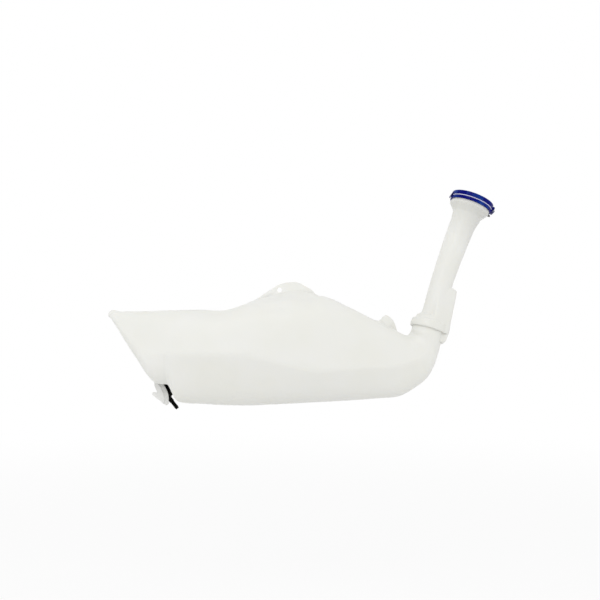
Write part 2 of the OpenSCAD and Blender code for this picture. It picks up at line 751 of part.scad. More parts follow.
module motor_magnets() {
    gap_w = 5;
    color("#333333")
        at_pump()
            translate([0, 0, armature_low])
                difference() {
                    ring(magnet_out_r, magnet_out_r - magnet_t, armature_len);
                    translate([-can_r, -gap_w / 2, -eps]) cube([2 * can_r, gap_w, armature_len + 2 * eps]);
                }
}
module motor_shaft() {
    color("lightgray")
        at_pump()
            translate([0, 0, impeller_low + disc_t + set_fit])
                cylinder(can_high + 5 - impeller_low - disc_t, r = shaft_r);
}
module motor_armature() {
    poles = 3;
    slot_w = 2.4;
    color("gray")
        at_pump()
            translate([0, 0, armature_low])
                difference() {
                    cylinder(armature_len, r = armature_r);
                    translate([0, 0, -eps]) cylinder(armature_len + 2 * eps, r = shaft_r + set_fit);
                    for (k = [0:poles - 1])
                        rotate(360 * (k + 0.5) / poles)
                            translate([bush_r, -slot_w / 2, -eps])
                                cube([armature_r, slot_w, armature_len + 2 * eps]);
                }
}
module motor_commutator() {
    color("chocolate")
        at_pump()
            translate([0, 0, commutator_low]) ring(commutator_r, shaft_r + set_fit, commutator_len);
}
module brush_holder() {
    color("saddlebrown")
        at_pump()
            translate([0, 0, can_high])
                difference() {
                    cylinder(4, r = can_r);
                    translate([0, 0, -eps]) cylinder(4 + 2 * eps, r = bush_r + set_fit);
                }
}
module motor_brushes() {
    brush = [4, 3, can_high - commutator_low - 1];
    color("#2a2a2a")
        at_pump()
            for (side = [0, 180])
                rotate(side)
                    translate([commutator_r + 0.3, -brush[1] / 2, can_high - brush[2]]) cube(brush);
}
module upper_bush() {
    color("peru")
        at_pump()
            translate([0, 0, can_high]) ring(bush_r, shaft_r + shaft_fit, bush_len);
}
module motor_housing() {
    color("#151515")
        at_pump()
            translate([0, 0, housing_low]) ring(housing_r, housing_r - housing_wall, housing_len);
}
shroud = [13, 9, 14];
shroud_wall = 1.4;
end_cap_t = 3;
spigot_h = 3;
blade = [0.8, 2.8, 10];
blade_gap = 5;
module motor_end_cap() {
    color("#151515")
        at_pump()
            translate([0, 0, housing_high])
                difference() {
                    union() {
                        cylinder(end_cap_t, r = housing_r);
                        translate([-shroud[0] / 2, -shroud[1] / 2, end_cap_t - eps])
                            cube(shroud + [0, 0, eps]);
                        translate([0, 0, -spigot_h]) cylinder(spigot_h + eps, r = can_r);
                    }
                    translate([shroud_wall - shroud[0] / 2, shroud_wall - shroud[1] / 2, end_cap_t])
                        cube([shroud[0] - 2 * shroud_wall, shroud[1] - 2 * shroud_wall, shroud[2] + eps]);
                    translate([0, 0, -spigot_h - eps]) cylinder(spigot_h, r = can_r - 2);
                    for (side = [-1, 1])
                        translate([side * blade_gap / 2, 0, end_cap_t / 2])
                            cube([blade[0] + 2 * set_fit, blade[1] + 2 * set_fit, end_cap_t + 3 * eps],
                                center = true);
                }
}
module connector_terminals() {
    color("gold")
        at_pump()
            for (side = [-1, 1])
                translate([side * blade_gap / 2 - blade[0] / 2, -blade[1] / 2, housing_high])
                    cube(blade);
}

// Pump grommet and strainer
module along_inlet(x) {
    translate(boss_at + [x, 0, 0]) rotate([0, 90, 0]) children();
}
module pump_grommet() {
    color("#202020")
        difference() {
            union() {
                along_inlet(-grommet_t) cylinder(grommet_t, d = grommet_d);
                along_inlet(-eps) cylinder(boss_len + grommet_lip + eps, d = grommet_hole_d - 2 * set_fit);
            }
            along_inlet(-grommet_t - eps)
                cylinder(grommet_t + boss_len + grommet_lip + 2 * eps, d = inlet_d + 2 * set_fit);
        }
}
module inlet_strainer() {
    out_r = inlet_d / 2 + 0.4 + strainer_wall;
    slot_w = 2;
    color("white")
        difference() {
            along_inlet(boss_len + grommet_lip) cylinder(strainer_len, r = out_r);
            along_inlet(boss_len + grommet_lip - eps)
                cylinder(strainer_len - strainer_wall, r = out_r - strainer_wall);
            for (k = [0:strainer_slots - 1])
                along_inlet(boss_len + grommet_lip + slot_w)
                    rotate(360 * k / strainer_slots)
                        translate([out_r - strainer_wall - eps, -slot_w / 2, 0])
                            cube([strainer_wall + 2 * eps, slot_w, strainer_len - 5]);
        }
}

// Pump retainer: a shield in front of the pump with a spur, on a band round its cup.
// Its outline is in the pump's frame, with the left and the right edge from the foot up.
plate_gap = 0.3;
plate_back = rim_r + plate_gap;
plate_top = 29;
plate_left = [
    [-12.5, plate_top], [-13.2, 25.6], [-11.3, 20.5], [-9.4, 17], [-9.4, 14.6], [-14.6, 15.1], [-16.2, 13.1],
    [-15.2, 11.2], [-9, 6.2], [-5.5, 3.9], [-1.2, -0.5]
];
plate_foot = [[1.5, -1.7], [3.7, -3.4]];
plate_right = [[7, -0.9], [6.8, 10.1], [5.7, 14.3], [4.3, 17.4], [2.7, 21.4], [0.4, 24.2], [-2.8, plate_top]];
pad_right = [for (p = plate_right) p - [strip_w, 0]];
band_low = seam_h - 3 - band_h;
band_from = 80;
band_turn = 220;
module pump_retainer() {
    color("lightgray")
        at_pump() {
            translate([0, -plate_back - plate_t / 2, 0])
                parting_plate(concat(plate_left, plate_foot, plate_right), plate_t);
            translate([0, -plate_back - plate_t - (pad_t - eps) / 2, 0])
                parting_plate(concat(plate_left, pad_right), pad_t + eps);
            translate([0, 0, band_low])
                rotate([0, 0, band_from])
                    rotate_extrude(angle = band_turn)
                        translate([cup_r + set_fit, 0]) square([band_wall, band_h]);
        }
}

tank();
filler_neck();
neck_seal();
cap_ring();
cap_lid();
cap_seal();
hinge_pin();
lip_stud();
pump_head();
pump_cover();
volute_plate();
pump_impeller();
seal_plate();
shaft_seal();
lower_bush();
motor_can();
motor_magnets();
motor_shaft();
motor_armature();
motor_commutator();
brush_holder();
motor_brushes();
upper_bush();
motor_housing();
motor_end_cap();
connector_terminals();
pump_grommet();
inlet_strainer();
pump_retainer();
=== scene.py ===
"""Looks of a vehicle's washer fluid reservoir, built round its packed construction.

The tank, the filler neck, the cap and the outside of the pump are surfaces worked out with numpy from the
same sizes as the construction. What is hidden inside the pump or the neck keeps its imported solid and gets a
finish. Sizes are in millimetres in the code's fields and become metres when a mesh is made. +X runs to the
filler, +Y to the back and +Z up, with the origin at the mounting bolt's hole.
"""

from __future__ import annotations

import json
import logging
import math
from dataclasses import dataclass
from enum import Enum

import bmesh
import bpy
import numpy as np
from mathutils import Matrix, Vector

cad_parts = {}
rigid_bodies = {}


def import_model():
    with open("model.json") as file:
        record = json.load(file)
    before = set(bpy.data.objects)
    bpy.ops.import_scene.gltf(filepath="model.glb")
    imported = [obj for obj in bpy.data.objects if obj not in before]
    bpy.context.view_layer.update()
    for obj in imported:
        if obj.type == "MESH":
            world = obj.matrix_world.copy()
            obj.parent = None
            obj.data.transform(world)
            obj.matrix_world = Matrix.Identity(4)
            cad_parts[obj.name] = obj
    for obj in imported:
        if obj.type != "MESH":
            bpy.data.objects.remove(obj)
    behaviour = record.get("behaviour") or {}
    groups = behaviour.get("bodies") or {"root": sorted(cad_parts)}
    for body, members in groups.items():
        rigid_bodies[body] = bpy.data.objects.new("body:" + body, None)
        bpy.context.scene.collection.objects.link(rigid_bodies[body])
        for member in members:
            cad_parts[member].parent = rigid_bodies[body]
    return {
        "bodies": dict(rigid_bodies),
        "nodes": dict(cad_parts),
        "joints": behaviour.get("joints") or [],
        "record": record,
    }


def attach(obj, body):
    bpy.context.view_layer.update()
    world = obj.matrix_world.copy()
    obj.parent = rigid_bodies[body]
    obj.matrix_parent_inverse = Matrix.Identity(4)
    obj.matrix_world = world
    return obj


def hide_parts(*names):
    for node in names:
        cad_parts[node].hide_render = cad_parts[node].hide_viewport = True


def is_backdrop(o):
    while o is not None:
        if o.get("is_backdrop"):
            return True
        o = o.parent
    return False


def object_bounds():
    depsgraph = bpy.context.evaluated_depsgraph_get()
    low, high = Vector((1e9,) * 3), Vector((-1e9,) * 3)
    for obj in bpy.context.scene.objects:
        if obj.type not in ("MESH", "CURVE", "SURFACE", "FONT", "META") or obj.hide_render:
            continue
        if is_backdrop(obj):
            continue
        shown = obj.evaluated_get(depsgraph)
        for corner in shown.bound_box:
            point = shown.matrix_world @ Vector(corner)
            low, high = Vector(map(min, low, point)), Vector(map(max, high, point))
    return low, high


MM = 0.001
# Metres: points closer than the first become one, and edges shorter than the second are dropped.
MERGE_M = 1e-7
THIN_M = 1e-8
# Below this a radius lies on the axis, and a turn is a full one.
TINY = 1e-6
# Largest share of an edge that one rounded corner takes.
CORNER_SHARE = 0.48
WHITE = (1.0, 1.0, 1.0, 1.0)
LOG = logging.getLogger("reservoir")


class Body(Enum):
    """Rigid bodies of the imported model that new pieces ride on."""

    RESERVOIR = "reservoir"
    LID = "lid"


class Slot(Enum):
    """Material slots of the record, listed beside the cap's pieces but not read; the finishes are made in
    main.
    """

    TANK = "tank_plastic"
    NECK = "neck_plastic"
    CAP = "cap_plastic"
    SEAL = "seal_silicone"
    GREY = "grey_plastic"
    BLACK = "black_plastic"
    RUBBER = "rubber"
    RETAINER = "retainer_plastic"


class Closing(Enum):
    """How the rows of a grid surface end."""

    OPEN = "open"
    LOOP = "loop"


def linear(code: str) -> tuple[float, float, float, float]:
    """Turn an sRGB hex colour into linear light.

    Args:
        code: Six hex digits.

    Returns:
        Linear red, green, blue and an alpha of 1.
    """
    parts = np.array([int(code[i:i + 2], 16) for i in (0, 2, 4)]) / 255.0
    light = np.where(parts <= 0.04045, parts / 12.92, ((parts + 0.055) / 1.055) ** 2.4)
    return (float(light[0]), float(light[1]), float(light[2]), 1.0)


def add_node(tree: bpy.types.NodeTree, kind: str, links: dict[str | int, object] | None = None,
             **settings: object) -> bpy.types.Node:
    """Add one shader node with its settings, socket values and links.

    Args:
        tree: Node tree that takes the node.
        kind: Blender's type name of the node.
        links: Input name or index to a value, or to an output socket that feeds it.
        **settings: Attributes of the node.

    Returns:
        The new node.
    """
    node = tree.nodes.new(kind)
    for name, value in settings.items():
        setattr(node, name, value)
    for name, value in (links or {}).items():
        if isinstance(value, bpy.types.NodeSocket):
            tree.links.new(value, node.inputs[name])
        else:
            node.inputs[name].default_value = value
    return node


def new_material(name: str) -> tuple[bpy.types.Material, bpy.types.NodeTree]:
    """Make an empty node material.

    Args:
        name: Name of the material.

    Returns:
        The material and its node tree.
    """
    material = bpy.data.materials.new(name)
    material.use_nodes = True
    material.node_tree.nodes.clear()
    return material, material.node_tree


def set_ramp(node: bpy.types.Node, stops: list[tuple[float, tuple[float, ...]]]) -> None:
    """Give a colour ramp its stops.

    Args:
        node: The ramp's node.
        stops: Place and linear colour of each stop, in order.
    """
    elements = node.color_ramp.elements
    while len(elements) < len(stops):
        elements.new(0.5)
    for element, (place, colour) in zip(elements, stops):
        element.position = place
        element.color = colour


@dataclass(frozen=True)
class BlownPolyethylene:
    """Natural high-density polyethylene, blow moulded.

    The wall is milky and lets some light in, so edges glow and folds stay soft. Its skin is satin with a
    faint orange-peel from the mould, drawn at about twice its real size so that it shows, and the wall's
    uneven thickness shows as pale clouds. A painted shade can be set: the wall is drawn greyer along one
    direction. On the neck it stands for the shade under the cap and its flare, darker towards the right,
    and partly for the cap's skirt showing through the wall.
    """

    name: str = "blown_polyethylene"
    thick: str = "EAEAE6"
    thin: str = "E8E8E2"
    cloud_mm: float = 60.0
    cloud_share: tuple[float, float] = (0.35, 0.65)
    peel_mm: float = 2.4
    peel_depth: float = 0.06
    peel_rise_mm: float = 0.2
    roughness: float = 0.46
    drift: float = 0.05
    ior: float = 1.54
    shine: float = 0.35
    scatter: float = 0.3
    scatter_mm: float = 1.2
    scatter_tint: tuple[float, float, float] = (1.0, 0.95, 0.85)
    # Painted shade: a grey multiplied in along a direction across a span, for the shade under the neck's cap
    # and flare.
    painted_shade: str = ""
    painted_shade_way: tuple[float, float, float] = (0.85, 0.0, 0.53)
    painted_shade_span: tuple[float, float] = (238.0, 285.0)

    def material(self) -> bpy.types.Material:
        """Build the node material.

        Returns:
            The material, with painted shade where a shade colour is set: greyer along a direction, across a
            span.
        """
        material, tree = new_material(self.name)
        place = add_node(tree, "ShaderNodeTexCoord")
        clouds = add_node(tree, "ShaderNodeTexNoise", {
            "Vector": place.outputs["Object"], "Scale": 1.0 / (self.cloud_mm * MM), "Detail": 2.0,
            "Roughness": 0.45})
        tint = add_node(tree, "ShaderNodeValToRGB", {"Fac": clouds.outputs["Fac"]})
        first, last = self.cloud_share
        set_ramp(tint, [(first, linear(self.thin)), (last, linear(self.thick))])
        colour = tint.outputs["Color"]
        # Painted shade: the colour turns greyer along a direction, for the shade under the neck's cap and
        # flare, darker to the right.
        if self.painted_shade:
            along = add_node(tree, "ShaderNodeVectorMath", {
                0: place.outputs["Object"], 1: self.painted_shade_way}, operation="DOT_PRODUCT")
            start, stop = self.painted_shade_span
            share = add_node(tree, "ShaderNodeMapRange", {
                "Value": along.outputs["Value"], "From Min": start * MM, "From Max": stop * MM})
            painted_shade_ramp = add_node(tree, "ShaderNodeValToRGB", {"Fac": share.outputs["Result"]})
            set_ramp(painted_shade_ramp, [(0.0, WHITE), (1.0, linear(self.painted_shade))])
            mixed = add_node(tree, "ShaderNodeVectorMath", {
                0: colour, 1: painted_shade_ramp.outputs["Color"]}, operation="MULTIPLY")
            colour = mixed.outputs["Vector"]
        peel = add_node(tree, "ShaderNodeTexNoise", {
            "Vector": place.outputs["Object"], "Scale": 1.0 / (self.peel_mm * MM), "Detail": 1.0})
        bump = add_node(tree, "ShaderNodeBump", {
            "Height": peel.outputs["Fac"], "Strength": self.peel_depth, "Distance": self.peel_rise_mm * MM})
        gloss = add_node(tree, "ShaderNodeMapRange", {
            "Value": clouds.outputs["Fac"], "To Min": self.roughness - self.drift,
            "To Max": self.roughness + self.drift})
        shader = add_node(tree, "ShaderNodeBsdfPrincipled", {
            "Base Color": colour, "Roughness": gloss.outputs["Result"], "IOR": self.ior,
            "Normal": bump.outputs["Normal"], "Subsurface Weight": self.scatter,
            "Subsurface Radius": self.scatter_tint, "Subsurface Scale": self.scatter_mm * MM,
            "Specular IOR Level": self.shine})
        add_node(tree, "ShaderNodeOutputMaterial", {"Surface": shader.outputs["BSDF"]})
        return material


@dataclass(frozen=True)
class MouldedPlastic:
    """An opaque injection-moulded plastic.

    The mould's spark texture breaks the highlights a little, and the colour drifts slightly where the melt
    flowed, which keeps large faces from looking painted. On the blue cap the second colour is much paler,
    and its clouds are painted highlights as well as melt marks. The real texture is a tenth of a millimetre
    or finer, and it is drawn coarser so that it shows.
    """

    name: str
    colour: str
    # Second colour, in clouds: melt marks, and on the blue cap painted highlights.
    flow_and_sheen: str
    roughness: float = 0.4
    drift: float = 0.06
    ior: float = 1.5
    grain_mm: float = 0.7
    grain_depth: float = 0.08
    grain_rise_mm: float = 0.1
    flow_and_sheen_mm: float = 25.0
    flow_and_sheen_share: tuple[float, float] = (0.35, 0.7)
    shine: float = 0.3

    def material(self) -> bpy.types.Material:
        """Build the node material.

        Returns:
            The material, with the flow colour in clouds over the first colour.
        """
        material, tree = new_material(self.name)
        place = add_node(tree, "ShaderNodeTexCoord")
        # Clouds of the second colour: melt marks, and on the blue cap painted highlights.
        flow_and_sheen = add_node(tree, "ShaderNodeTexNoise", {
            "Vector": place.outputs["Object"], "Scale": 1.0 / (self.flow_and_sheen_mm * MM), "Detail": 3.0})
        tint = add_node(tree, "ShaderNodeValToRGB", {"Fac": flow_and_sheen.outputs["Fac"]})
        first, last = self.flow_and_sheen_share
        set_ramp(tint, [(first, linear(self.colour)), (last, linear(self.flow_and_sheen))])
        grain = add_node(tree, "ShaderNodeTexNoise", {
            "Vector": place.outputs["Object"], "Scale": 1.0 / (self.grain_mm * MM), "Detail": 2.0})
        bump = add_node(tree, "ShaderNodeBump", {
            "Height": grain.outputs["Fac"], "Strength": self.grain_depth,
            "Distance": self.grain_rise_mm * MM})
        gloss = add_node(tree, "ShaderNodeMapRange", {
            "Value": flow_and_sheen.outputs["Fac"], "To Min": self.roughness - self.drift,
            "To Max": self.roughness + self.drift})
        shader = add_node(tree, "ShaderNodeBsdfPrincipled", {
            "Base Color": tint.outputs["Color"], "Roughness": gloss.outputs["Result"], "IOR": self.ior,
            "Normal": bump.outputs["Normal"], "Specular IOR Level": self.shine})
        add_node(tree, "ShaderNodeOutputMaterial", {"Surface": shader.outputs["BSDF"]})
        return material


@dataclass(frozen=True)
class WorkedMetal:
    """A turned, drawn or sintered metal.

    Fine marks across its axis stretch its highlights and dull it in places. They are drawn coarser than the
    real ones so that they show.
    """

    name: str
    colour: str
    dull: str
    roughness: float = 0.3
    mark_mm: float = 0.5
    mark_stretch: tuple[float, float, float] = (1.0, 1.0, 6.0)
    mark_share: tuple[float, float] = (0.3, 0.7)
    smoother: float = 0.08
    rougher: float = 0.1

    def material(self) -> bpy.types.Material:
        """Build the node material.

        Returns:
            The material, duller and smoother in its marks.
        """
        material, tree = new_material(self.name)
        place = add_node(tree, "ShaderNodeTexCoord")
        stretch = add_node(tree, "ShaderNodeMapping", {
            "Vector": place.outputs["Object"], "Scale": self.mark_stretch})
        marks = add_node(tree, "ShaderNodeTexNoise", {
            "Vector": stretch.outputs["Vector"], "Scale": 1.0 / (self.mark_mm * MM), "Detail": 3.0})
        tint = add_node(tree, "ShaderNodeValToRGB", {"Fac": marks.outputs["Fac"]})
        first, last = self.mark_share
        set_ramp(tint, [(first, linear(self.dull)), (last, linear(self.colour))])
        gloss = add_node(tree, "ShaderNodeMapRange", {
            "Value": marks.outputs["Fac"], "To Min": self.roughness - self.smoother,
            "To Max": self.roughness + self.rougher})
        shader = add_node(tree, "ShaderNodeBsdfPrincipled", {
            "Base Color": tint.outputs["Color"], "Metallic": 1.0, "Roughness": gloss.outputs["Result"]})
        add_node(tree, "ShaderNodeOutputMaterial", {"Surface": shader.outputs["BSDF"]})
        return material


def grid_faces(rows: int, columns: int, ends: Closing) -> np.ndarray:
    """Quads of a grid whose columns always close on themselves.

    Args:
        rows: Rows of points.
        columns: Points in each row.
        ends: Whether the last row joins the first.

    Returns:
        An array of four point numbers for each quad.
    """
    spans = rows if ends is Closing.LOOP else rows - 1
    row = np.arange(spans)[:, None]
    column = np.arange(columns)[None, :]
    after = (row + 1) % rows
    beside = (column + 1) % columns
    quads = np.stack([
        row * columns + column, after * columns + column,
        after * columns + beside, row * columns + beside], axis=-1)
    return quads.reshape(-1, 4)


@dataclass
class Shape:
    """Points in millimetres and quads, before they become a mesh."""

    points: np.ndarray
    quads: np.ndarray

    @staticmethod
    def of_grid(points: np.ndarray, ends: Closing = Closing.OPEN) -> Shape:
        """Make a shape of a grid of points, rows by columns by three."""
        rows, columns = points.shape[:2]
        return Shape(points.reshape(-1, 3), grid_faces(rows, columns, ends))

    def moved(self, turn: np.ndarray, shift: np.ndarray) -> Shape:
        """Return the shape turned by a matrix and then shifted."""
        return Shape(self.points @ turn.T + shift, self.quads)

    def joined(self, *others: Shape) -> Shape:
        """Join this shape and others without merging their points.

        Args:
            *others: Shapes to add, in order.

        Returns:
            One shape that holds them all.
        """
        shapes = [self, *others]
        counts = np.cumsum([0] + [len(s.points) for s in shapes[:-1]])
        return Shape(np.concatenate([s.points for s in shapes]),
                     np.concatenate([s.quads + n for s, n in zip(shapes, counts)]))


def make_piece(name: str, shape: Shape, material: bpy.types.Material, body: Body,
               replaced: tuple[str, ...] = (), sharp_deg: float = 40.0) -> bpy.types.Object:
    """Put a shape into a mesh object, dress it and hand it to its body.

    Args:
        name: Name of the piece.
        shape: Its points and quads.
        material: Its finish.
        body: Body that it rides on.
        replaced: Nodes of the construction that it stands for.
        sharp_deg: Edges that turn more than this stay crisp.

    Returns:
        The new object.
    """
    mesh = bpy.data.meshes.new(name)
    mesh.from_pydata((shape.points * MM).tolist(), [], shape.quads.tolist())
    work = bmesh.new()
    work.from_mesh(mesh)
    bmesh.ops.remove_doubles(work, verts=work.verts, dist=MERGE_M)
    bmesh.ops.dissolve_degenerate(work, edges=work.edges, dist=THIN_M)
    bmesh.ops.recalc_face_normals(work, faces=work.faces)
    work.to_mesh(mesh)
    work.free()
    mesh.polygons.foreach_set("use_smooth", np.ones(len(mesh.polygons), dtype=bool))
    mesh.set_sharp_from_angle(angle=math.radians(sharp_deg))
    mesh.materials.append(material)
    piece = bpy.data.objects.new(name, mesh)
    bpy.context.scene.collection.objects.link(piece)
    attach(piece, body.value)
    if replaced:
        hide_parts(*replaced)
    LOG.info("%s: %d faces on %s", name, len(mesh.polygons), body.value)
    return piece


def curve_through(rows: np.ndarray, places: np.ndarray) -> np.ndarray:
    """Follow a smooth curve through the rows of a table.

    Each span is the cubic that passes its two rows with half the step between each row's two neighbours as
    its slope there.

    Args:
        rows: Rows that the curve passes.
        places: Row numbers, with fractions, at which to read it.

    Returns:
        One row for each place.
    """
    last = len(rows) - 1
    span = np.clip(np.floor(places).astype(int), 0, last - 1)
    t = (places - span)[:, None]
    a = rows[np.maximum(span - 1, 0)]
    b = rows[span]
    c = rows[span + 1]
    d = rows[np.minimum(span + 2, last)]
    return 0.5 * (2 * b + (c - a) * t + (2 * a - 5 * b + 4 * c - d) * t ** 2
                  + (3 * b - a - 3 * c + d) * t ** 3)


def rounded(corners: list[tuple[float, float, float]], steps: int = 5) -> np.ndarray:
    """Round the corners of a closed outline with arcs.

    Each corner becomes a quadratic arc that leaves both of its edges at the corner's radius, or nearer where
    an edge is short.

    Args:
        corners: First coordinate, second coordinate and radius of each corner, in order round the outline.
        steps: Points on each arc beyond its first.

    Returns:
        Points of the rounded closed outline.
    """
    table = np.array(corners, dtype=float)
    here = table[:, :2]
    back = np.roll(here, 1, axis=0) - here
    ahead = np.roll(here, -1, axis=0) - here
    back_len = np.linalg.norm(back, axis=1, keepdims=True)
    ahead_len = np.linalg.norm(ahead, axis=1, keepdims=True)
    reach = np.minimum(table[:, 2:3], CORNER_SHARE * np.minimum(back_len, ahead_len))
    start = here + back / back_len * reach
    end = here + ahead / ahead_len * reach
    t = np.linspace(0.0, 1.0, steps + 1)[None, :, None]
    arcs = (1 - t) ** 2 * start[:, None] + 2 * t * (1 - t) * here[:, None] + t ** 2 * end[:, None]
    return arcs.reshape(-1, 2)


def lathe(profile: np.ndarray, sides: int, from_deg: float = 0.0, to_deg: float = 360.0) -> Shape:
    """Turn a closed profile about the Z axis.

    A point at radius r and height z goes to (r cos a, r sin a, z) at each angle a. A profile with points on
    the axis loses its edge along the axis, and a part turn gets its two ends closed by drawing the profile
    to its middle.

    Args:
        profile: Radius and height of each point of the closed profile.
        sides: Steps round the turn.
        from_deg: First angle.
        to_deg: Last angle.

    Returns:
        The turned shape.
    """
    full = abs(to_deg - from_deg - 360.0) < TINY
    off_axis = np.flatnonzero(profile[:, 0] > TINY)
    solid = len(off_axis) < len(profile)
    if solid:
        profile = profile[off_axis[0] - 1:off_axis[-1] + 2]
    angles = np.radians(np.linspace(from_deg, to_deg, sides, endpoint=not full))
    wheel = np.stack([np.cos(angles), np.sin(angles)], axis=-1)
    points = np.concatenate([
        profile[None, :, 0:1] * wheel[:, None, :],
        np.broadcast_to(profile[None, :, 1:2], (len(angles), len(profile), 1))], axis=-1)
    if full:
        return Shape.of_grid(points.swapaxes(0, 1), Closing.OPEN if solid else Closing.LOOP)
    first = np.broadcast_to(points[0].mean(axis=0), points[0].shape)[None]
    last = np.broadcast_to(points[-1].mean(axis=0), points[-1].shape)[None]
    return Shape.of_grid(np.concatenate([first, points, last]))


def spread(outline: np.ndarray, step: float) -> np.ndarray:
    """Add points to the long edges of a closed outline.

    The new points lie at even steps along it, and none comes closer than a quarter step to a point it has.

    Args:
        outline: Points of the closed outline.
        step: Longest edge that stays.

    Returns:
        The outline's own points with more between them.
    """
    closed = np.concatenate([outline, outline[:1]])
    along = np.concatenate([[0.0], np.cumsum(np.linalg.norm(np.diff(closed, axis=0), axis=1))])
    even = np.linspace(0.0, along[-1], max(int(along[-1] / step), 3), endpoint=False)
    gap = np.abs(even[:, None] - along[None, :]).min(axis=1)
    nearest = 0.25 * step
    places = np.unique(np.concatenate([along[:-1], even[gap > nearest]]))
    return np.column_stack([
        np.interp(places, along, closed[:, 0]), np.interp(places, along, closed[:, 1])])


def plate(outline: np.ndarray, middle: np.ndarray, thickness: float, edge: float, hole_r: float = 0.0,
          rings: int = 6) -> Shape:
    """A flat plate in the XZ plane with rounded edges and, if asked for, a round hole.

    Each point of the outline carries the same cross-section: from the hole across the front face, round the
    edge, across the back face and through the hole, so the plate is one closed ring of quads. The edge is
    drawn in along the outline's own normal, and its arc is edge (1 - sin b) in from the outline at depth
    edge (1 - cos b). Without a hole, both faces close in the middle.

    Args:
        outline: Points of the closed outline, X and Z.
        middle: Point that sees the whole outline, X and Z.
        thickness: Thickness along Y, half to each side.
        edge: Radius of the rounded edges.
        hole_r: Radius of the hole round the middle, or zero.
        rings: Steps across each face.

    Returns:
        The plate's shape.
    """
    along = np.roll(outline, -1, axis=0) - np.roll(outline, 1, axis=0)
    normal = np.column_stack([along[:, 1], -along[:, 0]])
    normal /= np.maximum(np.linalg.norm(normal, axis=1, keepdims=True), 1e-9)
    area = np.sum(outline[:, 0] * np.roll(outline[:, 1], -1) - outline[:, 1] * np.roll(outline[:, 0], -1))
    normal *= np.sign(area)
    half = thickness / 2
    bend = np.radians(np.linspace(0.0, 90.0, 6))
    inset = np.concatenate([edge * (1 - np.sin(bend)), edge * (1 - np.sin(bend[::-1]))])
    depth = np.concatenate([-half + edge * (1 - np.cos(bend)), half - edge * (1 - np.cos(bend[::-1]))])
    rim = outline[:, None, :] - inset[None, :, None] * normal[:, None, :]
    rays = outline - middle
    hole = middle + hole_r * rays / np.linalg.norm(rays, axis=1, keepdims=True)
    share = np.linspace(0.0, 1.0, rings)[None, :-1, None]
    front = hole[:, None, :] + share * (rim[:, :1] - hole[:, None, :])
    flat = np.concatenate([front, rim, front[:, ::-1]], axis=1)
    deep = np.concatenate([np.full(rings - 1, -half), depth, np.full(rings - 1, half)])
    points = np.empty(flat.shape[:2] + (3,))
    points[..., 0] = flat[..., 0]
    points[..., 1] = deep[None, :]
    points[..., 2] = flat[..., 1]
    return Shape.of_grid(points.swapaxes(0, 1), Closing.LOOP if hole_r > 0 else Closing.OPEN)


def turn_x(degrees: float) -> np.ndarray:
    """Matrix that turns about X."""
    c, s = math.cos(math.radians(degrees)), math.sin(math.radians(degrees))
    return np.array([[1.0, 0.0, 0.0], [0.0, c, -s], [0.0, s, c]])


def turn_y(degrees: float) -> np.ndarray:
    """Matrix that turns about Y."""
    c, s = math.cos(math.radians(degrees)), math.sin(math.radians(degrees))
    return np.array([[c, 0.0, s], [0.0, 1.0, 0.0], [-s, 0.0, c]])


@dataclass(frozen=True)
class Frame:
    """A turned and shifted frame in which a sub-assembly is drawn."""

    turn: np.ndarray
    shift: np.ndarray

    def place(self, shape: Shape) -> Shape:
        """Return a shape of this frame in the part's own frame."""
        return shape.moved(self.turn, self.shift)

    def inner(self, turn: np.ndarray, shift: tuple[float, float, float]) -> Frame:
        """Return a frame that sits in this one, turned and shifted."""
        return Frame(self.turn @ turn, self.turn @ np.array(shift, dtype=float) + self.shift)


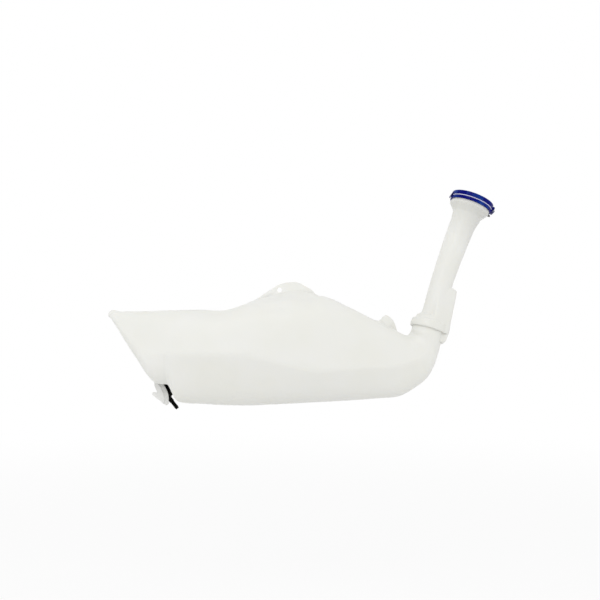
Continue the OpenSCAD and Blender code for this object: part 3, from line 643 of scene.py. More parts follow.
@dataclass
class Tank:
    """The blow-moulded tank with its bolt flange, ear and grommet boss.

    The body is a loft: rows of the sections table are joined by a smooth curve from the horn to the spout,
    and each section is two half ovals of a power curve, one to the front and one to the back of the parting
    plane.
    """

    finish: bpy.types.Material
    # Horn at the left tip: its middle in X and Z, its way into the tank and its radius.
    horn_at: tuple[float, float] = (-225.0, -33.0)
    horn_way: tuple[float, float] = (0.94, -0.34)
    horn_r: float = 6.0
    # Heights of the roof, of the notch over the pump and of the base, and the pump's axis and foot.
    roof: float = -28.0
    notch: float = -127.0
    base: float = -154.5
    pump_x: float = -157.0
    foot: float = -153.5
    # Largest depths to the front and to the back, the back of the left wing, and the wall.
    front: float = 58.0
    back: float = 47.0
    wing_back: float = 3.5
    wall: float = 2.2
    # Spout inside the neck's collar, and the neck's lean to the right and to the back in degrees.
    spout_at: tuple[float, float] = (200.3, -53.5)
    spout_r: float = 21.0
    spout_rise: float = 7.0
    neck_lean: float = 16.8
    neck_away: float = 9.0
    # Flange, ear and boss. A foot is the share by which a web thickens, and root_w a root's half-width.
    flange_t: float = 5.0
    flange_top: float = 10.8
    flange_edge: float = 1.2
    flange_foot: float = 3.2
    flange_root_w: float = 15.0
    bolt_r: float = 3.25
    ear_drop: float = 6.0
    ear_edge: float = 1.6
    ear_foot: float = 2.4
    ear_root_w: float = 9.0
    boss_in_r: float = 7.3
    boss_r: float = 10.0
    boss_len: float = 14.0
    boss_at: tuple[float, float, float] = (18.0, 20.0, 31.5)
    # Front panels: extra squareness, how far above round it is in full, and their leans as shares.
    flatter: float = 2.0
    flat_ramp: float = 0.2
    lean_up: float = 0.2
    lean_down: float = 0.3
    # Fold between the panels: its softness as a share, and where it starts from the pump's axis.
    fold_r: float = 0.035
    fold_start: float = -12.0
    fold_run: float = 26.0
    # Parting seam, raised along the middle of the moulding.
    seam_w: float = 0.7
    seam_h: float = 0.45
    # Pockets under the flange: X, Z, width and height of each, with their depth, border in Y and way.
    pockets: tuple[tuple[float, float, float, float], ...] = (
        (2.0, -24.0, 15.0, 7.0), (36.0, -12.0, 11.0, 7.0))
    pocket_depth: float = 2.2
    pocket_edge: tuple[float, float] = (-4.0, 2.0)
    pocket_way: tuple[float, float, float] = (0.0, 0.6, -0.8)
    # First hollow section, and how fine the mesh is.
    first_hollow: int = 4
    outer_steps: int = 8
    inner_steps: int = 4
    columns: int = 150
    sharp_deg: float = 60.0

    def sections(self) -> np.ndarray:
        """Table of the tank's sections.

        Returns:
            Rows of top x, top z, bottom x, bottom z, front bulge, back bulge, height of the widest line as
            a share, squareness, turn in degrees and shift to the back.
        """
        roof, notch, base, foot = self.roof, self.notch, self.base, self.foot
        front, back, wing = self.front, self.back, self.wing_back
        tip, pump = self.horn_at[0], self.pump_x
        middle = (tip + 22 + pump - 21) / 2
        away = self.neck_away
        return np.array([
            self.horn_section(-0.94 * self.horn_r, 0.34 * self.horn_r),
            self.horn_section(-0.66 * self.horn_r, 0.75 * self.horn_r),
            self.horn_section(0.0, self.horn_r),
            [tip + 11, roof - 1.4, tip + 7.5, roof - 25.5, front - 47, wing + 1, 0.45, 2.1, 0, 0],
            [tip + 22, roof - 1.2, tip + 21, roof - 47, front - 39, wing, 0.4, 2.2, 0, 0],
            [middle, roof - 1.2, middle, roof - 66.5, front - 30, wing, 0.36, 2.4, 0, 0],
            [pump - 21, roof - 1, pump - 21, notch + 14, front - 23, wing, 0.35, 2.5, 0, 0],
            [pump - 11, roof - 0.7, pump - 11, notch + 3.4, front - 18, wing, 0.4, 2.6, 0, 0],
            [pump - 1, roof - 0.3, pump, notch + 0.4, front - 13.8, wing, 0.43, 2.6, 0, 0],
            [pump + 6.5, roof, pump + 7.8, notch + 0.1, front - 11.1, wing, 0.44, 2.6, 0, 0],
            [pump + 11.2, roof + 0.1, pump + 11.6, foot + 21.1, front - 9.55, wing, 0.46, 2.6, 0, 0],
            [pump + 16.5, roof + 0.2, pump + 15.8, foot + 12, front - 8, wing + 2.5, 0.5, 2.62, 0, 0],
            [pump + 22, roof + 0.5, pump + 20.8, foot + 5, front - 6.55, back - 22, 0.53, 2.64, 0, 0],
            [pump + 33, roof + 0.8, pump + 33, foot + 2, front - 4.25, back - 8, 0.54, 2.64, 0, 0],
            [pump + 52, roof + 0.8, pump + 52, base + 2.2, front - 2, back - 3, 0.55, 2.6, 0, 0],
            [-74, roof + 0.2, -74, base + 0.5, front, back, 0.55, 2.5, 0, 0],
            [-40, roof + 10, -40, base, front, back, 0.5, 2.5, 0, 0],
            [5, roof + 17, 0, base + 1.8, front, back, 0.4, 2.5, 0, 0],
            [48, roof + 19.5, 45, base + 4.2, front - 1, back - 1, 0.31, 2.5, 0, 0],
            [67, roof + 17, 72, base + 5.5, front - 2.5, back - 2, 0.32, 2.5, 0, 0],
            [95, roof + 3.8, 102, base + 7.2, front - 6, back - 4, 0.36, 2.5, 0, 0],
            [122, roof - 9.8, 135, base + 9.6, front - 11, back - 8, 0.4, 2.4, 0, 0],
            [142, roof - 19.8, 160, base + 12, front - 16, back - 12, 0.44, 2.4, 0.1 * away, 0],
            [156, roof - 26.8, 181, base + 23, front - 22, back - 16, 0.46, 2.3, 0.25 * away, 0],
            [166, roof - 32, 197.5, base + 36, front - 28, back - 20, 0.45, 2.2, 0.5 * away, 0],
            [172.5, roof - 33.4, 208, base + 53.5, front - 32.5, back - 23, 0.48, 2.1, 0.75 * away, 0],
            [176.5, roof - 30, 214.5, base + 71.5, front - 35.5, back - 25, 0.5, 2, 0.9 * away, 0],
            self.spout_section(-8.0),
            self.spout_section(0.0),
            self.spout_section(self.spout_rise),
        ])

    def horn_section(self, along: float, half: float) -> list[float]:
        """Row of a round section across the horn.

        Args:
            along: Distance along the horn from its middle.
            half: Half-width of the horn there.

        Returns:
            The row, as in the sections table.
        """
        way = np.array(self.horn_way)
        middle = np.array(self.horn_at) + along * way
        side = half * np.array([-way[1], way[0]])
        return [*(middle + side), *(middle - side), half, half, 0.5, 2, 0, 0]

    def spout_section(self, height: float) -> list[float]:
        """Row of a round section of the spout.

        Args:
            height: Height along the neck above the collar's lower edge.

        Returns:
            The row, as in the sections table.
        """
        lean, away = math.radians(self.neck_lean), math.radians(self.neck_away)
        rise = height * math.cos(away)
        middle = np.array(self.spout_at) + rise * np.array([math.sin(lean), math.cos(lean)])
        side = self.spout_r * np.array([math.cos(lean), -math.sin(lean)])
        shift = height * math.sin(away)
        return [*(middle - side), *(middle + side), self.spout_r, self.spout_r, 0.5, 2,
                self.neck_away, shift]

    def angles(self) -> np.ndarray:
        """Angles round a section, with extra ones beside the parting plane and beside the front's fold.

        Returns:
            Angles in radians, in order from the top and round by the front.
        """
        even = np.linspace(0.0, 360.0, self.columns, endpoint=False)
        beside = np.array([0.06, 0.16, 0.32, 0.7, 1.3])
        seam = np.concatenate([beside, 180 - beside, 180 + beside, 360 - beside])
        fold = np.concatenate([90 - beside, [90.0], 90 + beside])
        return np.radians(np.unique(np.concatenate([even, seam, fold])))

    def surface(self, rows: np.ndarray, inset: float) -> np.ndarray:
        """Points of the sections, as rows by angles by three.

        At angle t, up is cos t and out is sin t, each raised to 2 over the squareness with its sign kept. Up
        runs from the widest line to the top or to the bottom, and out runs to the front or to the back
        bulge. The front is a flatter curve whose panels above and below the widest line lean back from it,
        so that they meet in a fold, which starts at the pump's corner. On the outer skin a bell curve raises
        the parting seam, and the roots of flange and ear are added at the top.

        Args:
            rows: Rows of the sections table.
            inset: Distance that the surface is drawn inwards.

        Returns:
            The points in millimetres.
        """
        t = self.angles()[None, :]
        top, low = rows[:, None, 0:2], rows[:, None, 2:4]
        top_x, _, _, _, front, back, widest, power, turned, shift = rows.T[:, :, None]
        height = np.linalg.norm(top - low, axis=-1)
        down = (low - top) / height[..., None]
        turn = np.radians(turned)
        cos_t, sin_t = np.cos(t), np.sin(t)
        flat = np.clip((power - 2) / self.flat_ramp, 0.0, 1.0)
        past = np.clip((top_x - self.pump_x - self.fold_start) / self.fold_run, 0.0, 1.0)
        flatter = self.flatter * flat * np.where(cos_t < 0, past, 1.0)
        square = np.where(sin_t < 0, 2 * power - 2, power + flatter)
        up = np.sign(cos_t) * np.abs(cos_t) ** (2 / square)
        out = np.sign(sin_t) * np.abs(sin_t) ** (2 / square)
        below = widest * height
        fold = np.hypot(up, self.fold_r) - self.fold_r
        lean = np.where(up > 0, self.lean_up, self.lean_down * past) * flat * fold
        depth = -out * (np.where(out > 0, front * (1 - lean), back) - inset)
        lift = below + up * (np.where(up < 0, below, height - below) - inset)
        if inset == 0.0:
            lift = lift + np.sign(up) * self.seam_h * np.exp(-(depth / self.seam_w) ** 2)
            lift = lift + self.root(top_x, depth) * np.maximum(up, 0.0) ** 2
        points = np.empty(lift.shape + (3,))
        points[..., 0] = low[..., 0] - lift * down[..., 0] + depth * down[..., 1] * np.sin(turn)
        points[..., 1] = shift + depth * np.cos(turn)
        points[..., 2] = low[..., 1] - lift * down[..., 1] - depth * down[..., 0] * np.sin(turn)
        return points

    def root(self, x: np.ndarray, depth: np.ndarray) -> np.ndarray:
        """Rise of the skin to the foot of the flange and of the ear, so that they grow out of it.

        The rise follows a table along X and falls off to both sides of the parting plane as a bell curve.

        Args:
            x: Places along X.
            depth: Distances from the parting plane.

        Returns:
            The rise at each place.
        """
        flange = np.interp(x, [-46, -29, -10, 0, 14, 30, 44, 54], [0, 4, 7, 7.5, 10.5, 10, 5, 0])
        ear = np.interp(x, [128, 137, 145, 153, 161], [0, 3, 5, 4, 0])
        return (flange * np.exp(-(depth / self.flange_root_w) ** 2)
                + ear * np.exp(-(depth / self.ear_root_w) ** 2))

    def dented(self, points: np.ndarray) -> np.ndarray:
        """Press the two shallow pockets under the flange into the front of the skin.

        Each pocket is a bell curve in X and Z, and a soft step in Y keeps it to the front.

        Args:
            points: Points of the outer skin.

        Returns:
            The points with the pockets pressed in.
        """
        deep = np.zeros(points.shape[:2])
        for x, z, width, height in self.pockets:
            deep += np.exp(-((points[..., 0] - x) / width) ** 2 - ((points[..., 2] - z) / height) ** 2)
        border, blend = self.pocket_edge
        deep *= self.pocket_depth / (1 + np.exp((points[..., 1] - border) / blend))
        return points + deep[..., None] * np.array(self.pocket_way)

    def body(self) -> Shape:
        """Outer and inner skin as one closed grid that turns over at the spout's rim.

        Returns:
            The tank's body.
        """
        rows = self.sections()
        last = len(rows) - 1
        hollow = last - self.first_hollow
        outer_places = np.linspace(0, last, last * self.outer_steps + 1)
        inner_places = np.linspace(last, self.first_hollow, hollow * self.inner_steps + 1)
        outer = self.dented(self.surface(curve_through(rows, outer_places), 0.0))
        inner = self.surface(curve_through(rows, inner_places), self.wall)
        tip_x, tip_z = np.array(self.horn_at) - self.horn_r * np.array(self.horn_way)
        tip = np.broadcast_to(np.array([tip_x, 0.0, tip_z]), outer[:1].shape)
        end = np.broadcast_to(inner[-1].mean(axis=0), outer[:1].shape)
        return Shape.of_grid(np.concatenate([tip, outer, inner, end]))

    def flange(self) -> Shape:
        """Bolt flange, a rounded web in the parting plane with the bolt's hole, thicker towards its foot.

        Returns:
            The flange.
        """
        roof, top = self.roof, self.flange_top
        outline = rounded([
            (-40, roof + 8.6, 1), (-29, -10.6, 8), (0, top - 2.6, 6), (14, top, 8), (25, top, 8),
            (46, -1.2, 5), (51, roof + 16, 2), (5, roof + 13, 10), (-34, roof + 7, 2)])
        web = plate(spread(outline, 1.5), np.zeros(2), self.flange_t, self.flange_edge, self.bolt_r)
        taper = np.interp(web.points[:, 0], [-36, -10, 32, 48], [0.0, 1.0, 1.0, 0.0])
        foot = np.interp(web.points[:, 2], [roof + 10, top - 3], [self.flange_foot, 0.0])
        web.points[:, 1] *= 1 + taper * foot
        return web

    def ear(self) -> Shape:
        """Ear beside the neck, a rounded web in the parting plane, thicker towards its foot.

        Returns:
            The ear.
        """
        roof, top = self.roof, self.roof - self.ear_drop
        outline = rounded([
            (133, roof - 15.4, 1), (139.6, top - 2, 5), (144, top + 0.6, 4), (149.6, top - 2.6, 4),
            (155, top - 9, 6), (159.4, roof - 30.2, 2), (146, roof - 23.6, 4), (134, roof - 17.6, 1)])
        web = plate(spread(outline, 1.0), np.array([146.0, roof - 15.0]), self.flange_t, self.ear_edge)
        taper = np.interp(web.points[:, 0], [134, 141, 150, 157], [0.0, 1.0, 1.0, 0.0])
        foot = np.interp(web.points[:, 2], [roof - 26, top], [self.ear_foot, 0.0])
        web.points[:, 1] *= 1 + taper * foot
        return web

    def boss(self) -> Shape:
        """Boss round the pump's grommet, turned about the inlet's axis.

        Returns:
            The boss, at its place from the pump's foot.
        """
        inner, outer, long = self.boss_in_r, self.boss_r, self.boss_len
        profile = rounded([(inner, 0, 0.4), (outer, 0, 0.8), (outer, long, 0.5), (inner, long, 0.5)])
        ring = lathe(spread(profile, 2.0), 72)
        x, y, z = self.boss_at
        return ring.moved(turn_y(90.0), np.array([self.pump_x + x, y, self.foot + z]))

    def build(self) -> None:
        """Make the tank's skin and what grows out of it, each a closed piece."""
        for name, shape in (
                ("tank_skin", self.body()), ("bolt_flange", self.flange()),
                ("neck_ear", self.ear()), ("grommet_boss", self.boss())):
            make_piece(name, shape, self.finish, Body.RESERVOIR, ("tank",), self.sharp_deg)


@dataclass
class FillerNeck:
    """The leaning filler neck: collar, bent tube, flared mouth and wing, as one moulding.

    Its wall is a closed profile of radius against height, carried along an arc that starts upright at the
    collar. At the mouth the rings turn over into the mouth's own frame.
    """

    finish: bpy.types.Material
    stud_finish: bpy.types.Material
    # Place of the collar, lean to the right and to the back, and the axis's bend in degrees and its sag.
    at: tuple[float, float, float] = (200.3, 0.0, -53.5)
    lean: float = 16.8
    away: float = 9.0
    bow: float = 6.5
    sag: float = 0.6
    # Turn of the mouth against the bent axis, and where below the lip the axis passes over to it.
    mouth_turn: float = -1.5
    mouth_from: float = 40.0
    mouth_run: float = 20.0
    # Tube: swell is the power by which its radius grows, and rows are heights that its profile passes.
    length: float = 187.0
    wall: float = 2.2
    tube_low_r: float = 13.7
    tube_top_r: float = 18.8
    tube_swell: float = 1.3
    tube_rows: tuple[float, ...] = (40.0, 70.0, 100.0, 130.0, 155.0)
    # Socket over the spout, collar, and the wing with its tail.
    socket_r: float = 21.3
    socket_depth: float = 9.5
    collar_r: float = 24.5
    collar_h: float = 10.0
    collar_step: float = 4.2
    wing_power: float = 12.0
    tail_t: float = 22.0
    tail_edge: float = 2.4
    # Lip with the ring's seat, flare, and the swelling on its left.
    lip_r: float = 27.0
    bore_r: float = 22.5
    lip_h: float = 9.5
    flare_h: float = 8.0
    ring_seat: float = 2.1
    lip_step: float = 1.8
    swell_h: float = 3.0
    swell_out: float = 1.2
    # Stud in the lip, and its place from the lip's radius and lower edge.
    stud_r: float = 1.3
    stud_len: float = 6.0
    stud_in: float = 3.0
    stud_up: float = 1.5
    # How fine the mesh is: crowding draws the points towards the wing.
    sides: int = 160
    crowding: float = 0.55
    sharp_deg: float = 60.0

    def collar_frame(self) -> Frame:
        """Frame of the collar's lower edge, with Z along the neck."""
        return Frame(turn_y(self.lean) @ turn_x(-self.away), np.array(self.at))

    def bend(self, height: np.ndarray) -> tuple[np.ndarray, np.ndarray]:
        """Middle and sideways direction of the neck at a height, in the collar's frame.

        The middle runs on an arc of radius length over bow: its side is R (1 - cos a) and its height is
        R sin a, at the bend's angle a there, less a slight sag halfway. Near the mouth both pass over to the
        mouth's straight axis.

        Args:
            height: Heights along the neck.

        Returns:
            Middle points and sideways directions, one row for each height.
        """
        radius = self.length / math.radians(self.bow)
        a = np.radians(self.bow) * height / self.length
        zero = np.zeros_like(a)
        sag = self.sag * np.sin(np.pi * height / self.length)
        middle = np.stack([radius * (1 - np.cos(a)) - sag, zero, radius * np.sin(a)], axis=-1)
        side = np.stack([np.cos(a), zero, -np.sin(a)], axis=-1)
        end, b = math.radians(self.bow), math.radians(self.bow + self.mouth_turn)
        mouth = np.array([radius * (1 - math.cos(end)), 0.0, radius * math.sin(end)])
        above = mouth + (height - self.length)[:, None] * np.array([math.sin(b), 0.0, math.cos(b)])
        above_side = np.array([math.cos(b), 0.0, -math.sin(b)])
        t = np.clip((height - self.length + self.mouth_from) / self.mouth_run, 0.0, 1.0)[:, None]
        share = t * t * (3 - 2 * t)
        return (1 - share) * middle + share * above, (1 - share) * side + share * above_side

    def mouth_frame(self) -> Frame:
        """Frame of the mouth's lip, with Z out of the mouth."""
        middle, _ = self.bend(np.array([self.length]))
        return self.collar_frame().inner(turn_y(self.bow + self.mouth_turn), tuple(middle[0]))

    def tube_r(self, height: float) -> float:
        """Outer radius of the tube at a height."""
        share = (height / self.length) ** self.tube_swell
        return self.tube_low_r + (self.tube_top_r - self.tube_low_r) * share

    def profile(self) -> np.ndarray:
        """Closed profile of the wall, from the collar up, over the lip and down inside.

        Returns:
            Radius and height of each point.
        """
        h, low, top = self.collar_h, self.tube_low_r, self.tube_top_r
        collar, rim = self.collar_r, self.lip_r
        step, neck = collar - self.collar_step, rim - self.lip_step
        lip, flare = self.length - self.lip_h, self.length - self.lip_h - self.flare_h
        seat, deep = self.length - self.ring_seat, self.socket_depth
        outside = [
            (self.socket_r, 0, 0.5), (collar, 0, 1), (collar + 0.5, 2, 1), (collar + 0.5, 6, 1),
            (collar, 8, 1), (collar, h, 1.2), (step, h + 3, 1.5), (step, h + 5.5, 1.2),
            (low + 0.8, h + 10, 3), (self.tube_r(30.0), 30, 4)]
        outside += [(self.tube_r(z), z, 8) for z in self.tube_rows]
        outside += [
            (top + 0.4, flare - 6, 4), (top + 1.4, flare - 0.8, 2), (rim - 0.4, lip, 1.2),
            (rim, lip + 1, 0.8), (rim, seat, 0.3), (neck, seat, 0.2), (neck, self.length, 0.6),
            (self.bore_r, self.length, 0.6), (self.bore_r, lip, 2), (top - 1.4, flare + 2, 3)]
        inside = [(self.tube_r(z) - self.wall, z, 8) for z in reversed(self.tube_rows)]
        inside += [(low - 1.6, h + 10, 2), (low - 1.6, deep, 0.8), (self.socket_r, deep, 0.8)]
        return spread(rounded(outside + inside), 1.5)

    def wall_shape(self) -> Shape:
        """The profile carried round and along the bent axis, with more points on the wing's side.

        Returns:
            The wall, in the collar's frame.
        """
        profile = self.profile()
        middle, side = self.bend(profile[:, 1])
        angle = np.linspace(-np.pi, np.pi, self.sides, endpoint=False)
        angle = angle - self.crowding * np.sin(angle)
        across = np.cos(angle)[None, :, None] * side[:, None, :]
        depth = np.sin(angle)[None, :, None] * np.array([0.0, 1.0, 0.0])
        reach = self.winged(profile, angle)[:, :, None]
        return Shape.of_grid(middle[:, None, :] + reach * (across + depth), Closing.LOOP)

    def winged(self, profile: np.ndarray, angle: np.ndarray) -> np.ndarray:
        """Radius of the wall with its wing on the right, for each point of the profile at each angle.

        The wing is a wedge: two flat faces start at the wall's front and back and close in to the right,
        where an edge face ends them. Along angle a the flat face lies at front / (sin a + slope cos a) and
        the edge face at reach / cos a, and a power mean takes the nearer one with a soft corner. A low
        swelling, a bell curve in height, widens the flare to the left.

        Args:
            profile: Radius and height of each point of the wall.
            angle: Angles round the neck, zero to the right.

        Returns:
            Radii, profile points by angles.
        """
        radius, height = profile[:, 0:1], profile[:, 1:2]
        skin = np.where(height < self.socket_depth + 0.8, self.socket_r + 0.6, self.tube_low_r - 0.5)
        reach = np.interp(
            height, [0, 4, 7, 19, 39, 61, 63.2, 64.4], [27.6, 28.2, 28, 26.8, 25.6, 23.5, 22.5, 4])
        front = np.interp(height, [0, 12, 40, 63.2, 64.4], [25, 24.6, 16.2, 15, 4])
        edge = np.interp(height, [0, 40, 63.2, 64.4], [11, 7, 5, 1])
        ahead = np.maximum(np.cos(angle), 0.05)[None, :]
        flat_face = front / (np.abs(np.sin(angle))[None, :] + (front - edge) / reach * ahead)
        power = -self.wing_power
        wedge = (flat_face ** power + (reach / ahead) ** power) ** (1 / power)
        t = np.clip((np.cos(angle)[None, :] + 0.25) / 0.5, 0.0, 1.0)
        rise = t * t * (3 - 2 * t) * np.maximum(wedge - radius, 0.0)
        swell = np.exp(-((height - self.length + self.lip_h) / self.swell_h) ** 2)
        swell = swell * np.maximum(-np.cos(angle), 0.0)[None, :] ** 4
        return radius + np.where(radius > skin, rise + self.swell_out * swell, 0.0)

    def tail(self) -> Shape:
        """Tail of the wing below the collar, a thick rounded plate.

        Returns:
            The tail, in the collar's frame.
        """
        collar = self.collar_r
        outline = rounded([
            (15, 5, 1), (collar + 3, 5, 1), (collar + 3.1, 0, 3), (collar + 1.6, -10.4, 3),
            (collar, -12.8, 1.5), (19, -13, 2), (15, -6, 2)])
        return plate(spread(outline, 1.0), np.array([21.0, -3.0]), self.tail_t, self.tail_edge)

    def build(self) -> None:
        """Make the neck and the stud on its lip."""
        frame = self.collar_frame()
        for name, shape in (("neck_tube", self.wall_shape()), ("neck_tail", self.tail())):
            make_piece(name, frame.place(shape), self.finish, Body.RESERVOIR,
                       ("filler_neck",), self.sharp_deg)
        radius, end = self.stud_r, self.stud_len
        pin = rounded([(0, 0, 0), (radius, 0, 0.2), (radius, end, 0.7), (0, end, 0)])
        at = (self.lip_r - self.stud_in, 0.0, self.stud_up - self.lip_h)
        seat = self.mouth_frame().inner(turn_y(90.0), at)
        make_piece("lip_pin", seat.place(lathe(pin, 32)), self.stud_finish, Body.RESERVOIR,
                   ("lip_stud",))


@dataclass
class FillerCap:
    """The two-part cap: a ring on the mouth, and a hinged lid with a finger tab and a pale gasket."""

    mouth: Frame
    finish: bpy.types.Material
    seal_finish: bpy.types.Material
    pin_finish: bpy.types.Material
    # Lip and bore of the mouth, the ring's play on the lip, and the walls.
    lip_r: float = 27.0
    bore_r: float = 22.5
    fit: float = 0.2
    wall: float = 2.0
    # Ring: its reach below the lip's top, its seat in the lip's step, and its top's thickness.
    ring_drop: float = 4.9
    ring_seat: float = 2.1
    lip_step: float = 1.8
    ring_top_t: float = 1.2
    # Lid: its gap over the ring, height, rise of the dome, reach past the ring, top and plug.
    gap: float = 1.5
    lid_h: float = 5.7
    dome: float = 1.3
    lid_over: float = 0.4
    lid_top_t: float = 1.2
    plug_drop: float = 4.0
    plug_fit: float = 1.2
    # Finger tab.
    tab_w: float = 14.0
    tab_reach: float = 1.4
    tab_drop: float = 3.4
    # Hinge: pin, knuckle and lugs, the lid's arm, and the pin's heads from the lugs' outer faces.
    pin_r: float = 0.9
    knuckle_wall: float = 0.8
    knuckle_w: float = 9.0
    lug_w: float = 2.6
    hinge_drop: float = 1.5
    hinge_gap: float = 0.4
    bore_fit: float = 0.05
    arm_short: float = 0.9
    head_over: float = 0.5
    head_from: float = 0.1
    head_to: float = 0.9
    # Gasket: its gap to lip and ring, and how far its edge stays inside the lid.
    seal_gap: float = 0.3
    seal_in: float = 0.8
    sides: int = 144

    @property
    def ring_r(self) -> float:
        """Outer radius of the ring."""
        return self.lip_r + self.fit + self.wall

    @property
    def lid_r(self) -> float:
        """Outer radius of the lid."""
        return self.ring_r + self.lid_over

    @property
    def ring_top(self) -> float:
        """Height of the ring's top against the lip's top."""
        return self.ring_top_t - self.ring_seat

    @property
    def lid_low(self) -> float:
        """Height of the lid's lower edge above the lip."""
        return self.ring_top + self.gap

    @property
    def knuckle_r(self) -> float:
        """Radius of the hinge's knuckles."""
        return self.pin_r + self.knuckle_wall

    @property
    def hinge_x(self) -> float:
        """Distance of the hinge's axis from the mouth's axis."""
        return self.ring_r + self.hinge_gap + self.knuckle_r

    def hinge_seat(self, offset: float = 0.0) -> Frame:
        """Frame on the hinge's axis, with Z along it, at an offset."""
        return Frame(turn_x(90.0), np.array([self.hinge_x, offset, -self.hinge_drop]))

    def barrel(self, width: float, offset: float) -> Shape:
        """A hinge barrel with its bore.

        Args:
            width: Width along the hinge's axis.
            offset: Place of its middle along the hinge's axis.

        Returns:
            The barrel, in the mouth's frame.
        """
        half, bore, outer = width / 2, self.pin_r + self.bore_fit, self.knuckle_r
        profile = rounded([
            (bore, -half, 0.1), (outer, -half, 0.35), (outer, half, 0.35), (bore, half, 0.1)])
        return self.hinge_seat(offset).place(lathe(profile, 40))

    def ring(self) -> Shape:
        """The ring over the lip, with its two hinge lugs.

        Returns:
            The ring, in the mouth's frame.
        """
        inner, outer, top = self.lip_r + self.fit, self.ring_r, self.ring_top
        rest, seat = inner - self.lip_step, -self.ring_seat
        profile = rounded([
            (inner, -self.ring_drop, 0.3), (outer, -self.ring_drop, 0.6), (outer, top, 0.6),
            (rest, top, 0.3), (rest, seat, 0.2), (inner, seat, 0.2)])
        shape = lathe(spread(profile, 2.0), self.sides)
        offset = self.knuckle_w / 2 + self.hinge_gap + self.lug_w / 2
        low, high = 0.4 - self.hinge_drop - self.knuckle_r, top - 0.1
        root, end = inner + 1, self.hinge_x - 1.2
        web = rounded([(root, low, 0.3), (end, low, 0.3), (end, high, 0.3), (root, high, 0.3)])
        middle = np.array([(inner + self.hinge_x) / 2, (low + high) / 2])
        web_plate = plate(spread(web, 0.8), middle, self.lug_w, 0.3)
        for side in (-1, 1):
            lug = self.barrel(self.lug_w, side * offset)
            shape = shape.joined(lug, web_plate.moved(np.eye(3), np.array([0.0, side * offset, 0.0])))
        return shape

    def finger_tab(self) -> Shape:
        """The tab on the lid's left, a rounded plate that hangs past the ring.

        Returns:
            The tab, in the mouth's frame.
        """
        r, low, drop = self.lid_r, self.lid_low, self.lid_low - self.tab_drop
        left, high = -r - self.tab_reach, low + self.tab_reach + 1
        outline = rounded([
            (-r + 1, low, 0.2), (-r + 1, high, 0.2), (-r, high, 0.6),
            (left, low + 0.5 - self.tab_drop / 2, 0.8), (left, drop + 0.6, 0.5), (left + 0.6, drop, 0.4),
            (-r, drop, 0.3), (-r, low, 0.2)])
        return plate(spread(outline, 0.5), np.array([-r - 0.4, low + 0.1]), self.tab_w, 0.5)

    def hinge_arm(self) -> Shape:
        """The arm from the lid down to its knuckle, a rounded plate.

        Returns:
            The arm, in the mouth's frame.
        """
        root, low, high = self.lid_r - 1, self.lid_low, self.lid_low + self.lid_h
        left = self.ring_r + self.hinge_gap + 0.3
        right = self.hinge_x + self.knuckle_r - self.arm_short
        foot = -self.hinge_drop + 0.6
        outline = rounded([
            (root, low + 0.3, 0.2), (left, low + 0.3, 0.3), (left, foot, 0.3), (right, foot, 0.3),
            (right, high - 1, 1.6), (root, high - 1, 0.2)])
        return plate(spread(outline, 0.6), np.array([left + 0.6, low + 1.0]), self.knuckle_w, 0.4)

    def lid(self) -> Shape:
        """The lid with its plug, finger tab and hinge arm.

        Returns:
            The lid, in the mouth's frame.
        """
        low, high = self.lid_low, self.lid_low + self.lid_h
        under, plug, foot = high - self.lid_top_t, self.bore_r - self.plug_fit, -self.plug_drop
        r, skirt = self.lid_r, self.lid_r - self.wall
        profile = rounded([
            (0, under, 0), (plug - self.wall, under, 0.5), (plug - self.wall, foot, 0.3),
            (plug - 0.3, foot, 0.6), (plug, foot + 1, 0.4), (plug, under, 0.3), (skirt, under, 0.3),
            (skirt, low, 0.2), (r, low, 0.5), (r, high - 0.3, 0.9), (r - 1.4, high + 0.35, 0.9),
            (0.6 * r, high + 0.8 * self.dome, 6), (0, high + self.dome, 0)])
        shape = lathe(spread(profile, 2.0), self.sides)
        return shape.joined(self.finger_tab(), self.hinge_arm(), self.barrel(self.knuckle_w, 0.0))

    def seal(self) -> Shape:
        """The pale gasket, nested in the lid and showing as a line between lid and ring; that pale line is
        partly a painted highlight.

        Returns:
            The gasket, in the mouth's frame.
        """
        gap, under = self.seal_gap, self.lid_low + self.lid_h - self.lid_top_t
        low = self.ring_top + gap
        inner, nest = self.bore_r - self.plug_fit + self.bore_fit, self.lid_r - self.wall - self.bore_fit
        edge = self.lid_r - self.seal_in
        skirt = self.lip_r + self.fit - self.lip_step + gap
        profile = rounded([
            (inner, gap, 0.3), (skirt, gap, 0.2), (skirt, low, 0.2), (edge, low, 0.4),
            (edge, self.lid_low, 0.2), (nest, self.lid_low, 0.1), (nest, under, 0.1), (inner, under, 0.2)])
        return lathe(spread(profile, 2.0), self.sides)

    def pin(self) -> Shape:
        """The hinge's pin with its two heads.

        Returns:
            The pin, in the mouth's frame.
        """
        half = self.knuckle_w / 2 + self.hinge_gap + self.lug_w
        near, far = half + self.head_from, half + self.head_to
        shaft, head = self.pin_r, self.pin_r + self.head_over
        profile = rounded([
            (0, -far, 0), (head, -far, 0.4), (head, -near, 0.1), (shaft, -near, 0.1),
            (shaft, near, 0.1), (head, near, 0.1), (head, far, 0.4), (0, far, 0)])
        return self.hinge_seat().place(lathe(profile, 32))

    def build(self) -> None:
        """Make ring, lid, gasket and pin."""
        for name, shape, finish, body, slot, node in (
                ("cap_band", self.ring(), self.finish, Body.RESERVOIR, Slot.CAP, "cap_ring"),
                ("cap_cover", self.lid(), self.finish, Body.LID, Slot.CAP, "cap_lid"),
                ("cap_gasket", self.seal(), self.seal_finish, Body.LID, Slot.SEAL, "cap_seal"),
                ("cap_pin", self.pin(), self.pin_finish, Body.RESERVOIR, Slot.GREY, "hinge_pin")):
            make_piece(name, self.mouth.place(shape), finish, body, (node,))


